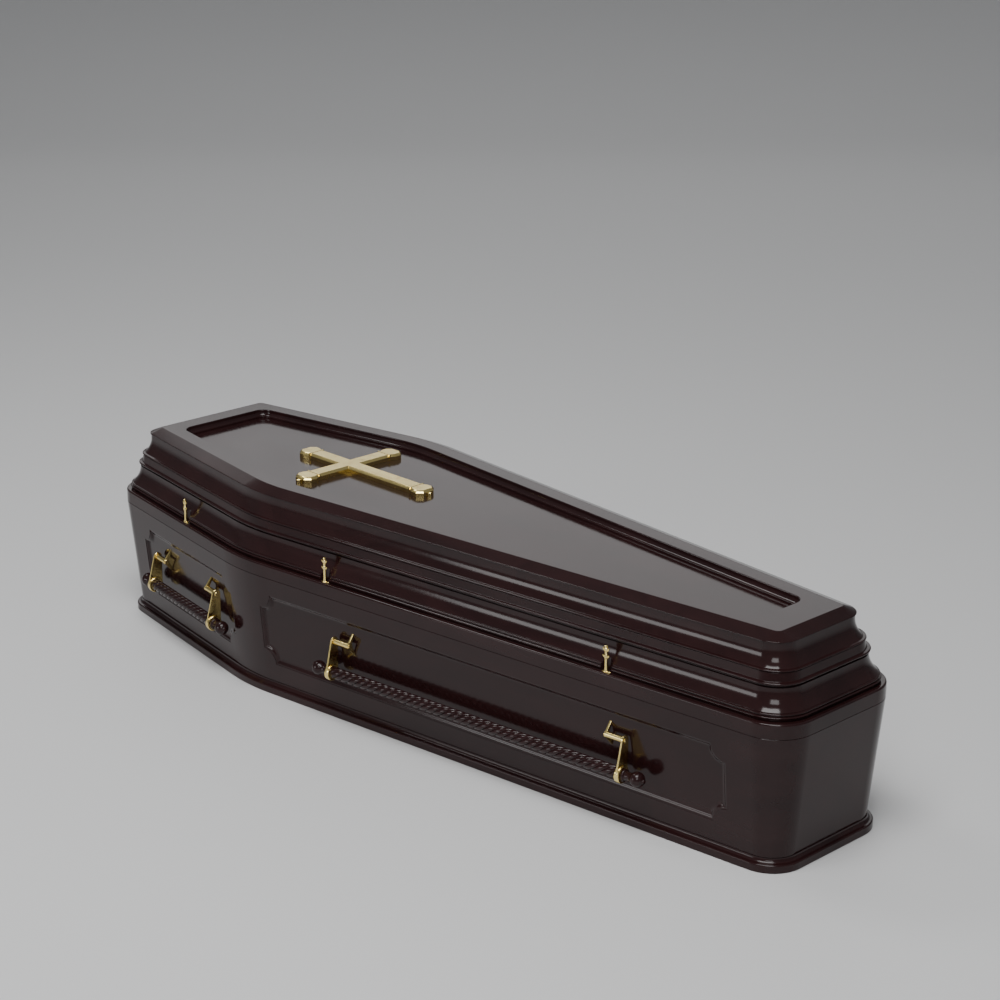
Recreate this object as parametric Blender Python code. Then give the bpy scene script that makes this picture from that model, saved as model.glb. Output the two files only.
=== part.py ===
"""Wooden coffin with a lift-off moulded lid, a padded lining and four swing handles.

Metres, +Z up. The coffin stands on Z = 0, centred in X and Y, with its head end
towards -X and its foot end towards +X. The six-sided plan is drawn once, as the
outer edge of the ledge that the lid rests on, and every tier is an offset of it.
"""
import math

import bmesh
import bpy
from mathutils import Matrix, Vector

# Plan of the coffin, at the outer edge of the ledge
LENGTH = 2.000
HEAD_WIDTH = 0.440
SHOULDER_WIDTH = 0.641
FOOT_WIDTH = 0.346
SHOULDER_FROM_HEAD = 0.595
HEAD_CORNER_RADIUS = 0.076
FOOT_CORNER_RADIUS = 0.083
SHOULDER_RADIUS = 0.500
SMALLEST_CORNER_RADIUS = 0.012
CORNER_STEPS = 4
SHOULDER_STEPS = 2

# Gap kept between pieces that touch
GAP = 0.0003

# Base board
BASE_THICKNESS = 0.0255
BASE_OVERHANG = 0.0130
BASE_FACE_HEIGHT = 0.0140
BASE_NOSING = 0.0025
BASE_COVE_SETBACK = 0.0060
BASE_COVE_BELLY = (0.7, 0.3)

# Walls
WALL_HEIGHT = 0.2500
WALL_THICKNESS = 0.0260
WALL_LEAN = 0.0235
LEDGE_WIDTH = 0.0129
LIP_HEIGHT = 0.0130

# Routed panels in the four long sides
PANEL_FROM_SHOULDER = 0.0555
PANEL_FROM_HEAD = 0.1200
PANEL_FROM_FOOT = 0.1300
PANEL_FROM_BASE = 0.0440
PANEL_FROM_LEDGE = 0.0405
PANEL_DEPTH = 0.0060
PANEL_BEVEL = 0.0145
PANEL_NOTCH_RADIUS = 0.0310
PANEL_NOTCH_STEPS = 3

# Lining
LINING_THICKNESS = 0.0450
LINING_TOP_DROP = 0.0050
LINING_ROUNDING = 0.0120
LINING_EDGE = 0.0036
LINING_SEAM = 0.0010
FLOOR_PAD_THICKNESS = 0.0200
FLOOR_PAD_GAP = 0.0010
FLOOR_PAD_ROUNDING = 0.0060
BUTTON_RADIUS = 0.0110
BUTTON_TOP_RADIUS = 0.0066
BUTTON_THICKNESS = 0.0060
BUTTON_BELOW_RIM = 0.1300
SIDE_BUTTONS_FROM_SHOULDER = (0.2290, 0.6390, 1.0490)
SHOULDER_BUTTON_FROM_SHOULDER = 0.2770

# Lid: heights are above the ledge, setbacks are in from the edge of the ledge
LID_HEIGHT = 0.1763
BRIM_HEIGHT = 0.0300
BRIM_ROUNDING = 0.0035
BRIM_WIDTH = 0.0400
LIP_CLEARANCE = 0.0015
LOWER_MOULDING_TOP = 0.0905
LOWER_MOULDING_INSIDE = 0.0530
UPPER_MOULDING_TOP = 0.1625
UPPER_MOULDING_INSIDE = 0.0750
TOP_INSIDE_CLEARANCE = 0.0020
FOOT_OF_MOULDING_SETBACK = 0.0125
FOOT_BEAD_SETBACK = 0.0090
FOOT_BEAD_BOTTOM = 0.0345
FOOT_BEAD_TOP = 0.0395
LOWER_COVE_BOTTOM = 0.0460
LOWER_COVE_BOTTOM_SETBACK = 0.0145
LOWER_COVE_TOP = 0.0865
LOWER_COVE_TOP_SETBACK = 0.0320
MIDDLE_BEAD_SETBACK = 0.0300
MIDDLE_BEAD_TOP = 0.0955
MIDDLE_BEAD_ROUNDING = 0.0015
BAND_BOTTOM_SETBACK = 0.0360
BAND_TOP_SETBACK = 0.0390
BAND_TOP = 0.1130
UPPER_BEAD_SETBACK = 0.0375
UPPER_BEAD_TOP = 0.1175
UPPER_COVE_BOTTOM_SETBACK = 0.0440
UPPER_COVE_TOP = 0.1545
UPPER_COVE_TOP_SETBACK = 0.0575
COVE_STEPS = 3
MOULDING_CORNER_KEEP = 0.6
TOP_EDGE_SETBACK = 0.0555
TOP_EDGE_HEIGHT = 0.0020
CHAMFER_SETBACK = 0.0850
SUNKEN_FROM_SIDES = 0.1205
SUNKEN_FROM_HEAD = 0.1310
SUNKEN_FROM_FOOT = 0.1550
SUNKEN_DEPTH = 0.0180
SUNKEN_STEP_WIDTH = 0.0100
SUNKEN_STEP_CURVE = ((0.0, 0.0), (0.2, 0.25), (0.8, 0.75), (1.0, 1.0))
SUNKEN_CORNER_RADIUS = 0.0300
SUNKEN_BOARD_THICKNESS = 0.0133

# Cross on the lid
CROSS_FROM_HEAD = 0.5950
CROSS_HEAD_ARM = 0.1640
CROSS_FOOT_ARM = 0.2730
CROSS_SIDE_ARM = 0.1510
CROSS_ARM_WIDTH = 0.0400
CROSS_END_WIDTH = 0.0520
CROSS_END_LENGTH = 0.0400
CROSS_END_FLARE = 0.0120
CROSS_BLUNT_WIDTH = 0.0280
CROSS_TIP_LENGTH = 0.0080
CROSS_TIP_WIDTH = 0.0110
CROSS_THICKNESS = 0.0140
CROSS_BEVEL = 0.0040

# Thumb screws that hold the lid
SCREWS_FROM_HEAD = (0.3310, 0.8480, 1.5900)
SCREW_SETBACK = 0.0100
SCREW_SHANK_RADIUS = 0.0028
SCREW_SHANK_IN_WALL = 0.0120
SCREW_LEAF_LENGTH = 0.0220
SCREW_LEAF_WIDTH = 0.0096
SCREW_LEAF_HEIGHT = 0.0025
SCREW_LEAF_TOP = 0.0038
SCREW_HEIGHT = 0.0550
SCREW_STEM_WIDTH = 0.0050
SCREW_LOWER_BAR_AT = 0.0320
SCREW_UPPER_BAR_AT = 0.0460
SCREW_BAR_LENGTH = 0.0160
SCREW_BAR_WIDTH = 0.0045
SCREW_BAR_TIP_WIDTH = 0.0018
SCREW_FINIAL_WIDTH = 0.0065
SCREW_FINIAL_TOP_WIDTH = 0.0025
SCREW_FINIAL_HEIGHT = 0.0040
SCREW_PLATE_THICKNESS = 0.0034
NICHE_RADIUS = 0.0130
HOLE_SIDES = 8

# Handles
HANDLES_FROM_SHOULDER = {"side": 0.6707, "shoulder": 0.2600}
LUG_SPACING = {"side": 0.6820, "shoulder": 0.2060}
ARM_BEYOND_LUG = 0.0435
BALL_BEYOND_ARM = 0.0380
HANDLE_AXIS_OUT = -0.0005
HANDLE_AXIS_HEIGHT = 0.1828
HANDLE_DROP = 0.0682
HANDLE_REST_LEAN = 7.7
LUG_RISE = 0.0245
LUG_FALL = 0.0270
LUG_THICKNESS = 0.0045
LUG_NOSE_RADIUS = 0.0065
LUG_FOOT_HEIGHT = 0.0085
LUG_WALL_BEHIND_PIN = 0.0012
PIN_RADIUS = 0.0050
PIN_CLEARANCE = 0.0005
PIN_END = 0.0020
ARM_THICKNESS = 0.0040
ARM_HEAD_RADIUS = 0.0100
ARM_HEAD_STEPS = 4
COLLAR_LENGTH = 0.0110
COLLAR_RADIUS = 0.0180
BAR_RADIUS = 0.0130
BAR_NECK_RADIUS = 0.0098
BAR_TWIST_LEAD = 0.0930
BAR_STRANDS = 5
BAR_STEPS_PER_TURN = 6
BALL_RADIUS = 0.0157
BALL_SHOULDER_AT = 0.0126
BALL_SHOULDER_RADIUS = 0.0094
BALL_RING_RADIUS = 0.0125
BALL_BUTTON_RADIUS = 0.0050
BALL_BUTTON_AT = 0.0181
ROUND_SIDES = 10

# Heights that follow from the sizes above
WALL_FOOT = BASE_THICKNESS + GAP
LEDGE_Z = BASE_THICKNESS + WALL_HEIGHT
LIP_TOP = LEDGE_Z + LIP_HEIGHT
LID_Z = LEDGE_Z + GAP
SUNKEN_Z = LID_Z + LID_HEIGHT - SUNKEN_DEPTH
FLOOR_PAD_TOP = BASE_THICKNESS + GAP + FLOOR_PAD_THICKNESS

HANDS = {-1: "right", 1: "left"}

COLOURS = {
    "dark_wood": ((0.020, 0.011, 0.010), 0.22, 0.0),
    "lining_cloth": ((0.52, 0.43, 0.38), 0.85, 0.0),
    "brass": ((0.80, 0.66, 0.38), 0.22, 1.0),
}


def clear_scene():
    for obj in list(bpy.data.objects):
        bpy.data.objects.remove(obj)


def material(name):
    found = bpy.data.materials.get(name)
    if found:
        return found
    colour, roughness, metallic = COLOURS[name]
    made = bpy.data.materials.new(name)
    made.use_nodes = True
    shader = made.node_tree.nodes["Principled BSDF"]
    shader.inputs["Base Color"].default_value = (*colour, 1.0)
    shader.inputs["Roughness"].default_value = roughness
    shader.inputs["Metallic"].default_value = metallic
    return made


# Plan outlines

def plan_corners():
    """The right half of the plan: head corner, shoulder and foot corner."""
    head = Vector((-LENGTH / 2, -HEAD_WIDTH / 2))
    shoulder = Vector((-LENGTH / 2 + SHOULDER_FROM_HEAD, -SHOULDER_WIDTH / 2))
    foot = Vector((LENGTH / 2, -FOOT_WIDTH / 2))
    return head, shoulder, foot


def outward(start, end):
    along = (end - start).normalized()
    return Vector((along.y, -along.x))


def side_lines(sides, head_end, foot_end):
    """Six lines of the plan, as outward normal and distance, anticlockwise from the head."""
    head, shoulder, foot = plan_corners()
    short_normal = outward(head, shoulder)
    long_normal = outward(shoulder, foot)
    short = (short_normal, short_normal.dot(shoulder) + sides)
    long = (long_normal, long_normal.dot(shoulder) + sides)
    mirrored = [(Vector((n.x, -n.y)), d) for n, d in (long, short)]
    head_line = (Vector((-1, 0)), LENGTH / 2 + head_end)
    foot_line = (Vector((1, 0)), LENGTH / 2 + foot_end)
    return [head_line, short, long, foot_line, *mirrored]


def outline(sides, head_end=None, foot_end=None, corner_keep=1.0, radii=None):
    """Rounded plan moved outwards by `sides`; the ends may move by other amounts."""
    head_end = sides if head_end is None else head_end
    foot_end = sides if foot_end is None else foot_end
    lines = side_lines(sides, head_end, foot_end)
    if radii is None:
        base = (HEAD_CORNER_RADIUS, SHOULDER_RADIUS, FOOT_CORNER_RADIUS)
        radii = [max(r + corner_keep * sides, SMALLEST_CORNER_RADIUS) for r in base]
    head_radius, shoulder_radius, foot_radius = radii
    corner_radii = [head_radius, shoulder_radius, foot_radius, foot_radius, shoulder_radius, head_radius]
    points = []
    for i, radius in enumerate(corner_radii):
        (n1, d1), (n2, d2) = lines[i], lines[(i + 1) % 6]
        across = n1.x * n2.y - n1.y * n2.x
        e1, e2 = d1 - radius, d2 - radius
        centre = Vector(((e1 * n2.y - e2 * n1.y) / across, (n1.x * e2 - n2.x * e1) / across))
        start = math.atan2(n1.y, n1.x)
        turn = math.acos(max(-1.0, min(1.0, n1.dot(n2))))
        steps = SHOULDER_STEPS if i in (1, 4) else CORNER_STEPS
        for k in range(steps + 1):
            angle = start + turn * k / steps
            points.append(centre + radius * Vector((math.cos(angle), math.sin(angle))))
    return points


def level(points, z):
    return [Vector((p.x, p.y, z)) for p in points]


# Mesh helpers

def new_object(name, bm, finish, matrix=None, smooth_angle=None):
    bmesh.ops.recalc_face_normals(bm, faces=bm.faces)
    mesh = bpy.data.meshes.new(name)
    bm.to_mesh(mesh)
    bm.free()
    if smooth_angle:
        mesh.shade_smooth()
        mesh.set_sharp_from_angle(angle=math.radians(smooth_angle))
    mesh.materials.append(material(finish))
    obj = bpy.data.objects.new(name, mesh)
    if matrix is not None:
        obj.matrix_world = matrix
    bpy.context.collection.objects.link(obj)
    return obj


def bridge(bm, lower, upper, closed=True):
    count = len(lower)
    for k in range(count if closed else count - 1):
        j = (k + 1) % count
        bm.faces.new((lower[k], lower[j], upper[j], upper[k]))


def ring(name, loops, finish):
    """Closed ring through loops that run up the outside and down the inside."""
    bm = bmesh.new()
    rows = [[bm.verts.new(p) for p in loop] for loop in loops]
    for i, row in enumerate(rows):
        bridge(bm, row, rows[(i + 1) % len(rows)])
    return new_object(name, bm, finish, smooth_angle=35)


def stack(name, loops, finish, matrix=None, smooth_angle=35):
    """Solid through loops from bottom to top, capped at both ends."""
    bm = bmesh.new()
    rows = [[bm.verts.new(p) for p in loop] for loop in loops]
    for lower, upper in zip(rows, rows[1:]):
        bridge(bm, lower, upper)
    bm.faces.new(reversed(rows[0]))
    bm.faces.new(rows[-1])
    return new_object(name, bm, finish, matrix, smooth_angle)


def cove(bottom, bottom_setback, top, top_setback):
    """Hollow arc, upright at its top, as (setback, height) pairs from bottom to top."""
    width = bottom_setback - top_setback
    height = top - bottom
    half_angle = math.atan2(abs(width), height)
    radius = height / math.sin(2 * half_angle)
    pairs = []
    for k in range(COVE_STEPS + 1):
        angle = 2 * half_angle * (1 - k / COVE_STEPS)
        pairs.append((top_setback - radius * (1 - math.cos(angle)), top - radius * math.sin(angle)))
    return pairs


def lid_loops(pairs, corner_keep=MOULDING_CORNER_KEEP):
    """Plan loops of a lid tier from (setback, height above the ledge) pairs."""
    return [level(outline(-s, corner_keep=corner_keep), LID_Z + h) for s, h in pairs]


def circle(radius, sides, z=0.0, centre=(0.0, 0.0), phase=0.5):
    turn = 2 * math.pi / sides
    return [
        Vector((centre[0] + radius * math.cos(turn * (k + phase)),
                centre[1] + radius * math.sin(turn * (k + phase)), z))
        for k in range(sides)
    ]


def boolean(obj, other, operation):
    modifier = obj.modifiers.new(operation.title(), "BOOLEAN")
    modifier.operation = operation
    modifier.solver = "EXACT"
    modifier.object = other
    other.hide_render = True
    other.display_type = "WIRE"


def apply_modifiers(obj):
    depsgraph = bpy.context.evaluated_depsgraph_get()
    mesh = bpy.data.meshes.new_from_object(obj.evaluated_get(depsgraph))
    old = obj.data
    obj.modifiers.clear()
    obj.data = mesh
    bpy.data.meshes.remove(old)


def fuse(target, *others):
    """Union other solids into the target, and remove them."""
    for other in others:
        boolean(target, other, "UNION")
    apply_modifiers(target)
    for other in others:
        bpy.data.objects.remove(other)


def cut(targets, cutters):
    for target in targets:
        for cutter in cutters:
            boolean(target, cutter, "DIFFERENCE")
        apply_modifiers(target)
    for cutter in cutters:
        bpy.data.objects.remove(cutter)


# Base board and walls

def make_base_board():
    foot = -WALL_LEAN
    edge = foot + BASE_OVERHANG
    shelf = edge - BASE_COVE_SETBACK
    step = BASE_FACE_HEIGHT + BASE_NOSING
    rise = BASE_THICKNESS - step
    belly_in, belly_up = BASE_COVE_BELLY
    pairs = [
        (edge, 0.0),
        (edge, BASE_FACE_HEIGHT),
        (edge - BASE_NOSING, step),
        (shelf, step),
        (shelf - (shelf - foot) * belly_in, step + rise * belly_up),
        (foot, BASE_THICKNESS),
    ]
    return stack("base_board", [level(outline(offset), z) for offset, z in pairs], "dark_wood")


def wall_offset(z):
    """How far the outer wall face stands out from the ledge's edge at a height (negative is in)."""
    return -WALL_LEAN * (LEDGE_Z - z) / WALL_HEIGHT


def make_walls():
    pairs = [
        (wall_offset(WALL_FOOT), WALL_FOOT),
        (0.0, LEDGE_Z),
        (-LEDGE_WIDTH, LEDGE_Z),
        (-LEDGE_WIDTH, LIP_TOP),
        (-WALL_THICKNESS, LIP_TOP),
        (-WALL_THICKNESS + wall_offset(WALL_FOOT), WALL_FOOT),
    ]
    return ring("coffin_walls", [level(outline(offset), z) for offset, z in pairs], "dark_wood")


def side_frame(part, hand):
    """Side of the coffin: start at the shoulder, direction away from it, outward normal, length.

    `part` is "side" (shoulder to foot) or "shoulder" (shoulder to head); `hand` is -1 on
    the right of whoever lies inside and +1 on the left.
    """
    head, shoulder, foot = plan_corners()
    end = foot if part == "side" else head
    normal = outward(shoulder, foot) if part == "side" else outward(head, shoulder)
    along = (end - shoulder).normalized()
    length = (end - shoulder).length
    flip = Vector((1, -hand))
    return shoulder * flip, along * flip, normal * flip, length


def wall_matrix(part, hand, distance, z):
    """Frame on the leaning wall face: X along it, Y up its slope, Z straight out of it."""
    start, along, normal, _ = side_frame(part, hand)
    place = start + along * distance + normal * wall_offset(z)
    lean = WALL_LEAN / WALL_HEIGHT
    up = Vector((normal.x * lean, normal.y * lean, 1)).normalized()
    out = Vector((normal.x, normal.y, -lean)).normalized()
    right = up.cross(out)
    matrix = Matrix.Identity(4)
    for column, axis in enumerate((right, up, out)):
        for row in range(3):
            matrix[row][column] = axis[row]
    matrix.translation = (place.x, place.y, z)
    return matrix


def notched_rectangle(width, height, notch, z):
    """Rectangle whose corners are scooped by quarter circles, anticlockwise."""
    points = []
    for i, (sx, sy) in enumerate(((1, 1), (-1, 1), (-1, -1), (1, -1))):
        corner = Vector((sx * width / 2, sy * height / 2))
        start = math.radians(-90 + 90 * i)
        for k in range(PANEL_NOTCH_STEPS + 1):
            angle = start - math.radians(90) * k / PANEL_NOTCH_STEPS
            points.append(Vector((corner.x + notch * math.cos(angle), corner.y + notch * math.sin(angle), z)))
    return points


def panel_span(part):
    length = side_frame(part, -1)[3]
    end_gap = PANEL_FROM_FOOT if part == "side" else PANEL_FROM_HEAD
    return PANEL_FROM_SHOULDER, length - end_gap


def make_panel_cutter(part, hand):
    """Routed recess with a bevelled border and scooped corners."""
    near, far = panel_span(part)
    bottom, top = BASE_THICKNESS + PANEL_FROM_BASE, LEDGE_Z - PANEL_FROM_LEDGE
    slope = math.hypot(1, WALL_LEAN / WALL_HEIGHT)
    width, height = far - near, (top - bottom) * slope
    spread = 2 * PANEL_BEVEL
    loops = [
        notched_rectangle(width - spread, height - spread, PANEL_NOTCH_RADIUS, -PANEL_DEPTH),
        notched_rectangle(width + spread, height + spread, PANEL_NOTCH_RADIUS, PANEL_DEPTH),
    ]
    matrix = wall_matrix(part, hand, (near + far) / 2, (bottom + top) / 2)
    return stack(f"panel_cutter_{part}_{hand}", loops, "dark_wood", matrix, smooth_angle=None)


# Lining

def lining_section():
    """(offset of the plan, height) pairs around a lining panel, from its outer foot upwards."""
    back = -WALL_THICKNESS - GAP
    face = -WALL_THICKNESS - LINING_THICKNESS
    foot = WALL_FOOT
    return [
        (back + wall_offset(foot), foot),
        (back, LIP_TOP),
        (face + LINING_ROUNDING, LIP_TOP - LINING_TOP_DROP / 2),
        (face + LINING_EDGE, LIP_TOP - LINING_TOP_DROP - LINING_EDGE),
        (face, LIP_TOP - LINING_TOP_DROP - LINING_ROUNDING),
        (face, foot),
    ]


def make_lining_panel(name, first_corner):
    """Padded panel from the middle of one corner of the plan to the middle of the next."""
    steps = [SHOULDER_STEPS if i in (1, 4) else CORNER_STEPS for i in range(6)]
    starts = [sum(steps[:i]) + i for i in range(6)]
    total = sum(steps) + 6
    begin = starts[first_corner] + steps[first_corner] // 2
    next_corner = (first_corner + 1) % 6
    end = starts[next_corner] + steps[next_corner] // 2
    if end < begin:
        end += total
    normal = side_lines(0, 0, 0)[next_corner][0]
    along = Vector((-normal.y, normal.x, 0))
    bm = bmesh.new()
    stations = []
    loops = [level(outline(offset), z) for offset, z in lining_section()]
    for index in range(begin, end + 1):
        pull = along * LINING_SEAM / 2 * ((index == begin) - (index == end))
        stations.append([bm.verts.new(loop[index % total] + pull) for loop in loops])
    for left, right in zip(stations, stations[1:]):
        bridge(bm, left, right)
    bm.faces.new(stations[0])
    bm.faces.new(reversed(stations[-1]))
    return new_object(name, bm, "lining_cloth", smooth_angle=50)


def make_floor_pad():
    offset = -WALL_THICKNESS - LINING_THICKNESS - FLOOR_PAD_GAP
    pairs = [(offset, WALL_FOOT), (offset, FLOOR_PAD_TOP - FLOOR_PAD_ROUNDING),
             (offset - FLOOR_PAD_ROUNDING, FLOOR_PAD_TOP)]
    return stack("floor_pad", [level(outline(o), z) for o, z in pairs], "lining_cloth")


def make_button(name, part, hand, distance):
    """Covered button on the upright face of the lining."""
    start, along, normal, _ = side_frame(part, hand)
    out = -(WALL_THICKNESS + LINING_THICKNESS + GAP)
    place = start + along * distance + normal * out
    return button_at(name, place, normal)


def make_end_button(name, end):
    x = end * (LENGTH / 2 - WALL_THICKNESS - LINING_THICKNESS - GAP)
    return button_at(name, Vector((x, 0)), Vector((end, 0)))


def button_at(name, place, normal):
    loops = [
        circle(BUTTON_RADIUS, HOLE_SIDES),
        circle(BUTTON_TOP_RADIUS, HOLE_SIDES, BUTTON_THICKNESS),
    ]
    matrix = Vector((-normal.x, -normal.y, 0)).to_track_quat("Z", "Y").to_matrix().to_4x4()
    matrix.translation = (place.x, place.y, LIP_TOP - BUTTON_BELOW_RIM)
    return stack(name, loops, "lining_cloth", matrix)


def make_lining():
    names = ["shoulder_right", "side_right", "foot", "side_left", "shoulder_left", "head"]
    for corner, name in enumerate(names):
        make_lining_panel(f"lining_{name}", corner)
    make_floor_pad()
    for hand, word in HANDS.items():
        for number, distance in enumerate(SIDE_BUTTONS_FROM_SHOULDER, start=1):
            make_button(f"button_side_{word}_{number}", "side", hand, distance)
        make_button(f"button_shoulder_{word}", "shoulder", hand, SHOULDER_BUTTON_FROM_SHOULDER)
    make_end_button("button_head", -1)
    make_end_button("button_foot", 1)


# Lid

def make_brim():
    leg = LEDGE_WIDTH - LIP_CLEARANCE
    rebate = LIP_HEIGHT + LIP_CLEARANCE
    pairs = [
        (0.0, 0.0),
        (0.0, BRIM_HEIGHT - BRIM_ROUNDING),
        (BRIM_ROUNDING, BRIM_HEIGHT),
        (BRIM_WIDTH, BRIM_HEIGHT),
        (BRIM_WIDTH, rebate),
        (leg, rebate),
        (leg, 0.0),
    ]
    return ring("lid_brim", lid_loops(pairs, corner_keep=1.0), "dark_wood")


def make_lower_moulding():
    foot = BRIM_HEIGHT + GAP
    pairs = [
        (FOOT_OF_MOULDING_SETBACK, foot),
        (FOOT_OF_MOULDING_SETBACK, FOOT_BEAD_BOTTOM),
        (FOOT_BEAD_SETBACK, (FOOT_BEAD_BOTTOM + FOOT_BEAD_TOP) / 2),
        (FOOT_OF_MOULDING_SETBACK, FOOT_BEAD_TOP),
    ]
    pairs += cove(LOWER_COVE_BOTTOM, LOWER_COVE_BOTTOM_SETBACK, LOWER_COVE_TOP, LOWER_COVE_TOP_SETBACK)
    pairs += [
        (BAND_BOTTOM_SETBACK, LOWER_COVE_TOP),
        (BAND_BOTTOM_SETBACK, LOWER_MOULDING_TOP),
        (LOWER_MOULDING_INSIDE, LOWER_MOULDING_TOP),
        (LOWER_MOULDING_INSIDE, foot),
    ]
    return ring("lid_lower_moulding", lid_loops(pairs), "dark_wood")


def make_upper_moulding():
    foot = LOWER_MOULDING_TOP + GAP
    pairs = [
        (MIDDLE_BEAD_SETBACK, foot),
        (MIDDLE_BEAD_SETBACK, MIDDLE_BEAD_TOP - MIDDLE_BEAD_ROUNDING),
        (BAND_BOTTOM_SETBACK, MIDDLE_BEAD_TOP),
        (BAND_TOP_SETBACK, BAND_TOP),
        (UPPER_BEAD_SETBACK, (BAND_TOP + UPPER_BEAD_TOP) / 2),
    ]
    pairs += cove(UPPER_BEAD_TOP, UPPER_COVE_BOTTOM_SETBACK, UPPER_COVE_TOP, UPPER_COVE_TOP_SETBACK)
    pairs += [
        (UPPER_COVE_TOP_SETBACK, UPPER_MOULDING_TOP),
        (UPPER_MOULDING_INSIDE, UPPER_MOULDING_TOP),
        (UPPER_MOULDING_INSIDE, foot),
    ]
    return ring("lid_upper_moulding", lid_loops(pairs), "dark_wood")


def make_lid_top():
    """Top board: chamfered edge, sunken panel with a moulded step, tongue inside the moulding."""
    seat = UPPER_MOULDING_TOP + GAP
    plug = UPPER_MOULDING_INSIDE + TOP_INSIDE_CLEARANCE
    under = LID_HEIGHT - SUNKEN_DEPTH - SUNKEN_BOARD_THICKNESS
    edge_top = seat + TOP_EDGE_HEIGHT
    loops = lid_loops([(plug, under), (plug, seat), (TOP_EDGE_SETBACK, seat), (TOP_EDGE_SETBACK, edge_top)])
    loops.append(level(outline(-CHAMFER_SETBACK), LID_Z + LID_HEIGHT))
    for across, deep in SUNKEN_STEP_CURVE:
        inward, down = SUNKEN_STEP_WIDTH * across, SUNKEN_DEPTH * deep
        radius = SUNKEN_CORNER_RADIUS - inward
        plan = outline(
            -SUNKEN_FROM_SIDES - inward,
            -SUNKEN_FROM_HEAD - inward,
            -SUNKEN_FROM_FOOT - inward,
            radii=(radius, SHOULDER_RADIUS, radius),
        )
        loops.append(level(plan, LID_Z + LID_HEIGHT - down))
    return stack("lid_top", loops, "dark_wood")


def cross_outline():
    """Latin cross with flared ends, anticlockwise; +X is its foot."""
    half, wide = CROSS_ARM_WIDTH / 2, CROSS_END_WIDTH / 2
    blunt, tip = CROSS_BLUNT_WIDTH / 2, CROSS_TIP_WIDTH / 2
    arms = ((CROSS_FOOT_ARM, 0), (CROSS_SIDE_ARM, 90), (CROSS_HEAD_ARM, 180), (CROSS_SIDE_ARM, 270))
    points = []
    for length, degrees in arms:
        end = length - CROSS_TIP_LENGTH
        neck = end - CROSS_END_LENGTH
        below = [(half, -half), (neck, -half), (neck + CROSS_END_FLARE, -wide),
                 (end - CROSS_END_FLARE, -wide), (end, -blunt), (end, -tip)]
        arm = below + [(length, 0.0)] + [(x, -y) for x, y in reversed(below[1:])]
        turn = Matrix.Rotation(math.radians(degrees), 2)
        points += [turn @ Vector(p) for p in arm]
    return points


def inset(points, distance):
    """Move a closed anticlockwise outline inwards by a distance, edge by edge."""
    moved = []
    count = len(points)
    for k in range(count):
        before, here, after = points[k - 1], points[k], points[(k + 1) % count]
        n1 = Vector((before.y - here.y, here.x - before.x)).normalized()
        n2 = Vector((here.y - after.y, after.x - here.x)).normalized()
        moved.append(here + (n1 + n2) * distance / (1 + n1.dot(n2)))
    return moved


def make_cross():
    plan = cross_outline()
    top = inset(plan, CROSS_BEVEL)
    loops = [level(plan, 0.0), level(plan, CROSS_THICKNESS - CROSS_BEVEL), level(top, CROSS_THICKNESS)]
    place = Matrix.Translation((-LENGTH / 2 + CROSS_FROM_HEAD, 0, SUNKEN_Z + GAP))
    return stack("cross", loops, "brass", place, smooth_angle=None)


# Thumb screws

def screw_places():
    """Name, plan position and outward normal of each screw."""
    places = []
    for hand, word in HANDS.items():
        for number, from_head in enumerate(SCREWS_FROM_HEAD, start=1):
            part = "shoulder" if from_head < SHOULDER_FROM_HEAD else "side"
            start, along, normal, _ = side_frame(part, hand)
            distance = (from_head - LENGTH / 2 - start.x) / along.x
            place = start + along * distance - normal * SCREW_SETBACK
            places.append((f"lid_screw_{word}_{number}", place, normal))
    return places


def screw_matrix(place, normal, z):
    matrix = Matrix.Rotation(math.atan2(normal.y, normal.x) + math.pi / 2, 4, "Z")
    matrix.translation = (place.x, place.y, z)
    return matrix


def make_drill(name, place, radius, bottom, top, sides):
    loops = [circle(radius, sides, bottom), circle(radius, sides, top)]
    return stack(name, loops, "brass", Matrix.Translation((place.x, place.y, 0)))


def plate(name, outline_points, matrix):
    """Flat upright plate in the screw's own XZ plane."""
    half = SCREW_PLATE_THICKNESS / 2
    loops = [[Vector((x, y, z)) for x, z in outline_points] for y in (half, -half)]
    return stack(name, loops, "brass", matrix, smooth_angle=None)


def screw_head_outline():
    """Slim double-barred head with pointed bars and a rounded finial."""
    stem, reach = SCREW_STEM_WIDTH / 2, SCREW_BAR_LENGTH / 2
    root, tip = SCREW_BAR_WIDTH / 2, SCREW_BAR_TIP_WIDTH / 2
    right = [(stem, 0.0)]
    for height in (SCREW_LOWER_BAR_AT, SCREW_UPPER_BAR_AT):
        right += [(stem, height - root), (reach, height - tip), (reach, height + tip), (stem, height + root)]
    right.append((SCREW_FINIAL_WIDTH / 2, SCREW_HEIGHT - SCREW_FINIAL_HEIGHT))
    right.append((SCREW_FINIAL_TOP_WIDTH / 2, SCREW_HEIGHT))
    left = [(-x, z) for x, z in reversed(right)]
    return right + left


def leaf(length, width, z):
    """Leaf shape that is pointed at both ends of its length along X, with HOLE_SIDES points."""
    points = []
    for p in circle(1.0, HOLE_SIDES, phase=0.0):
        points.append(Vector((p.x * length / 2, math.copysign(1 - p.x ** 2, p.y) * width / 2, z)))
    return points


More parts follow.
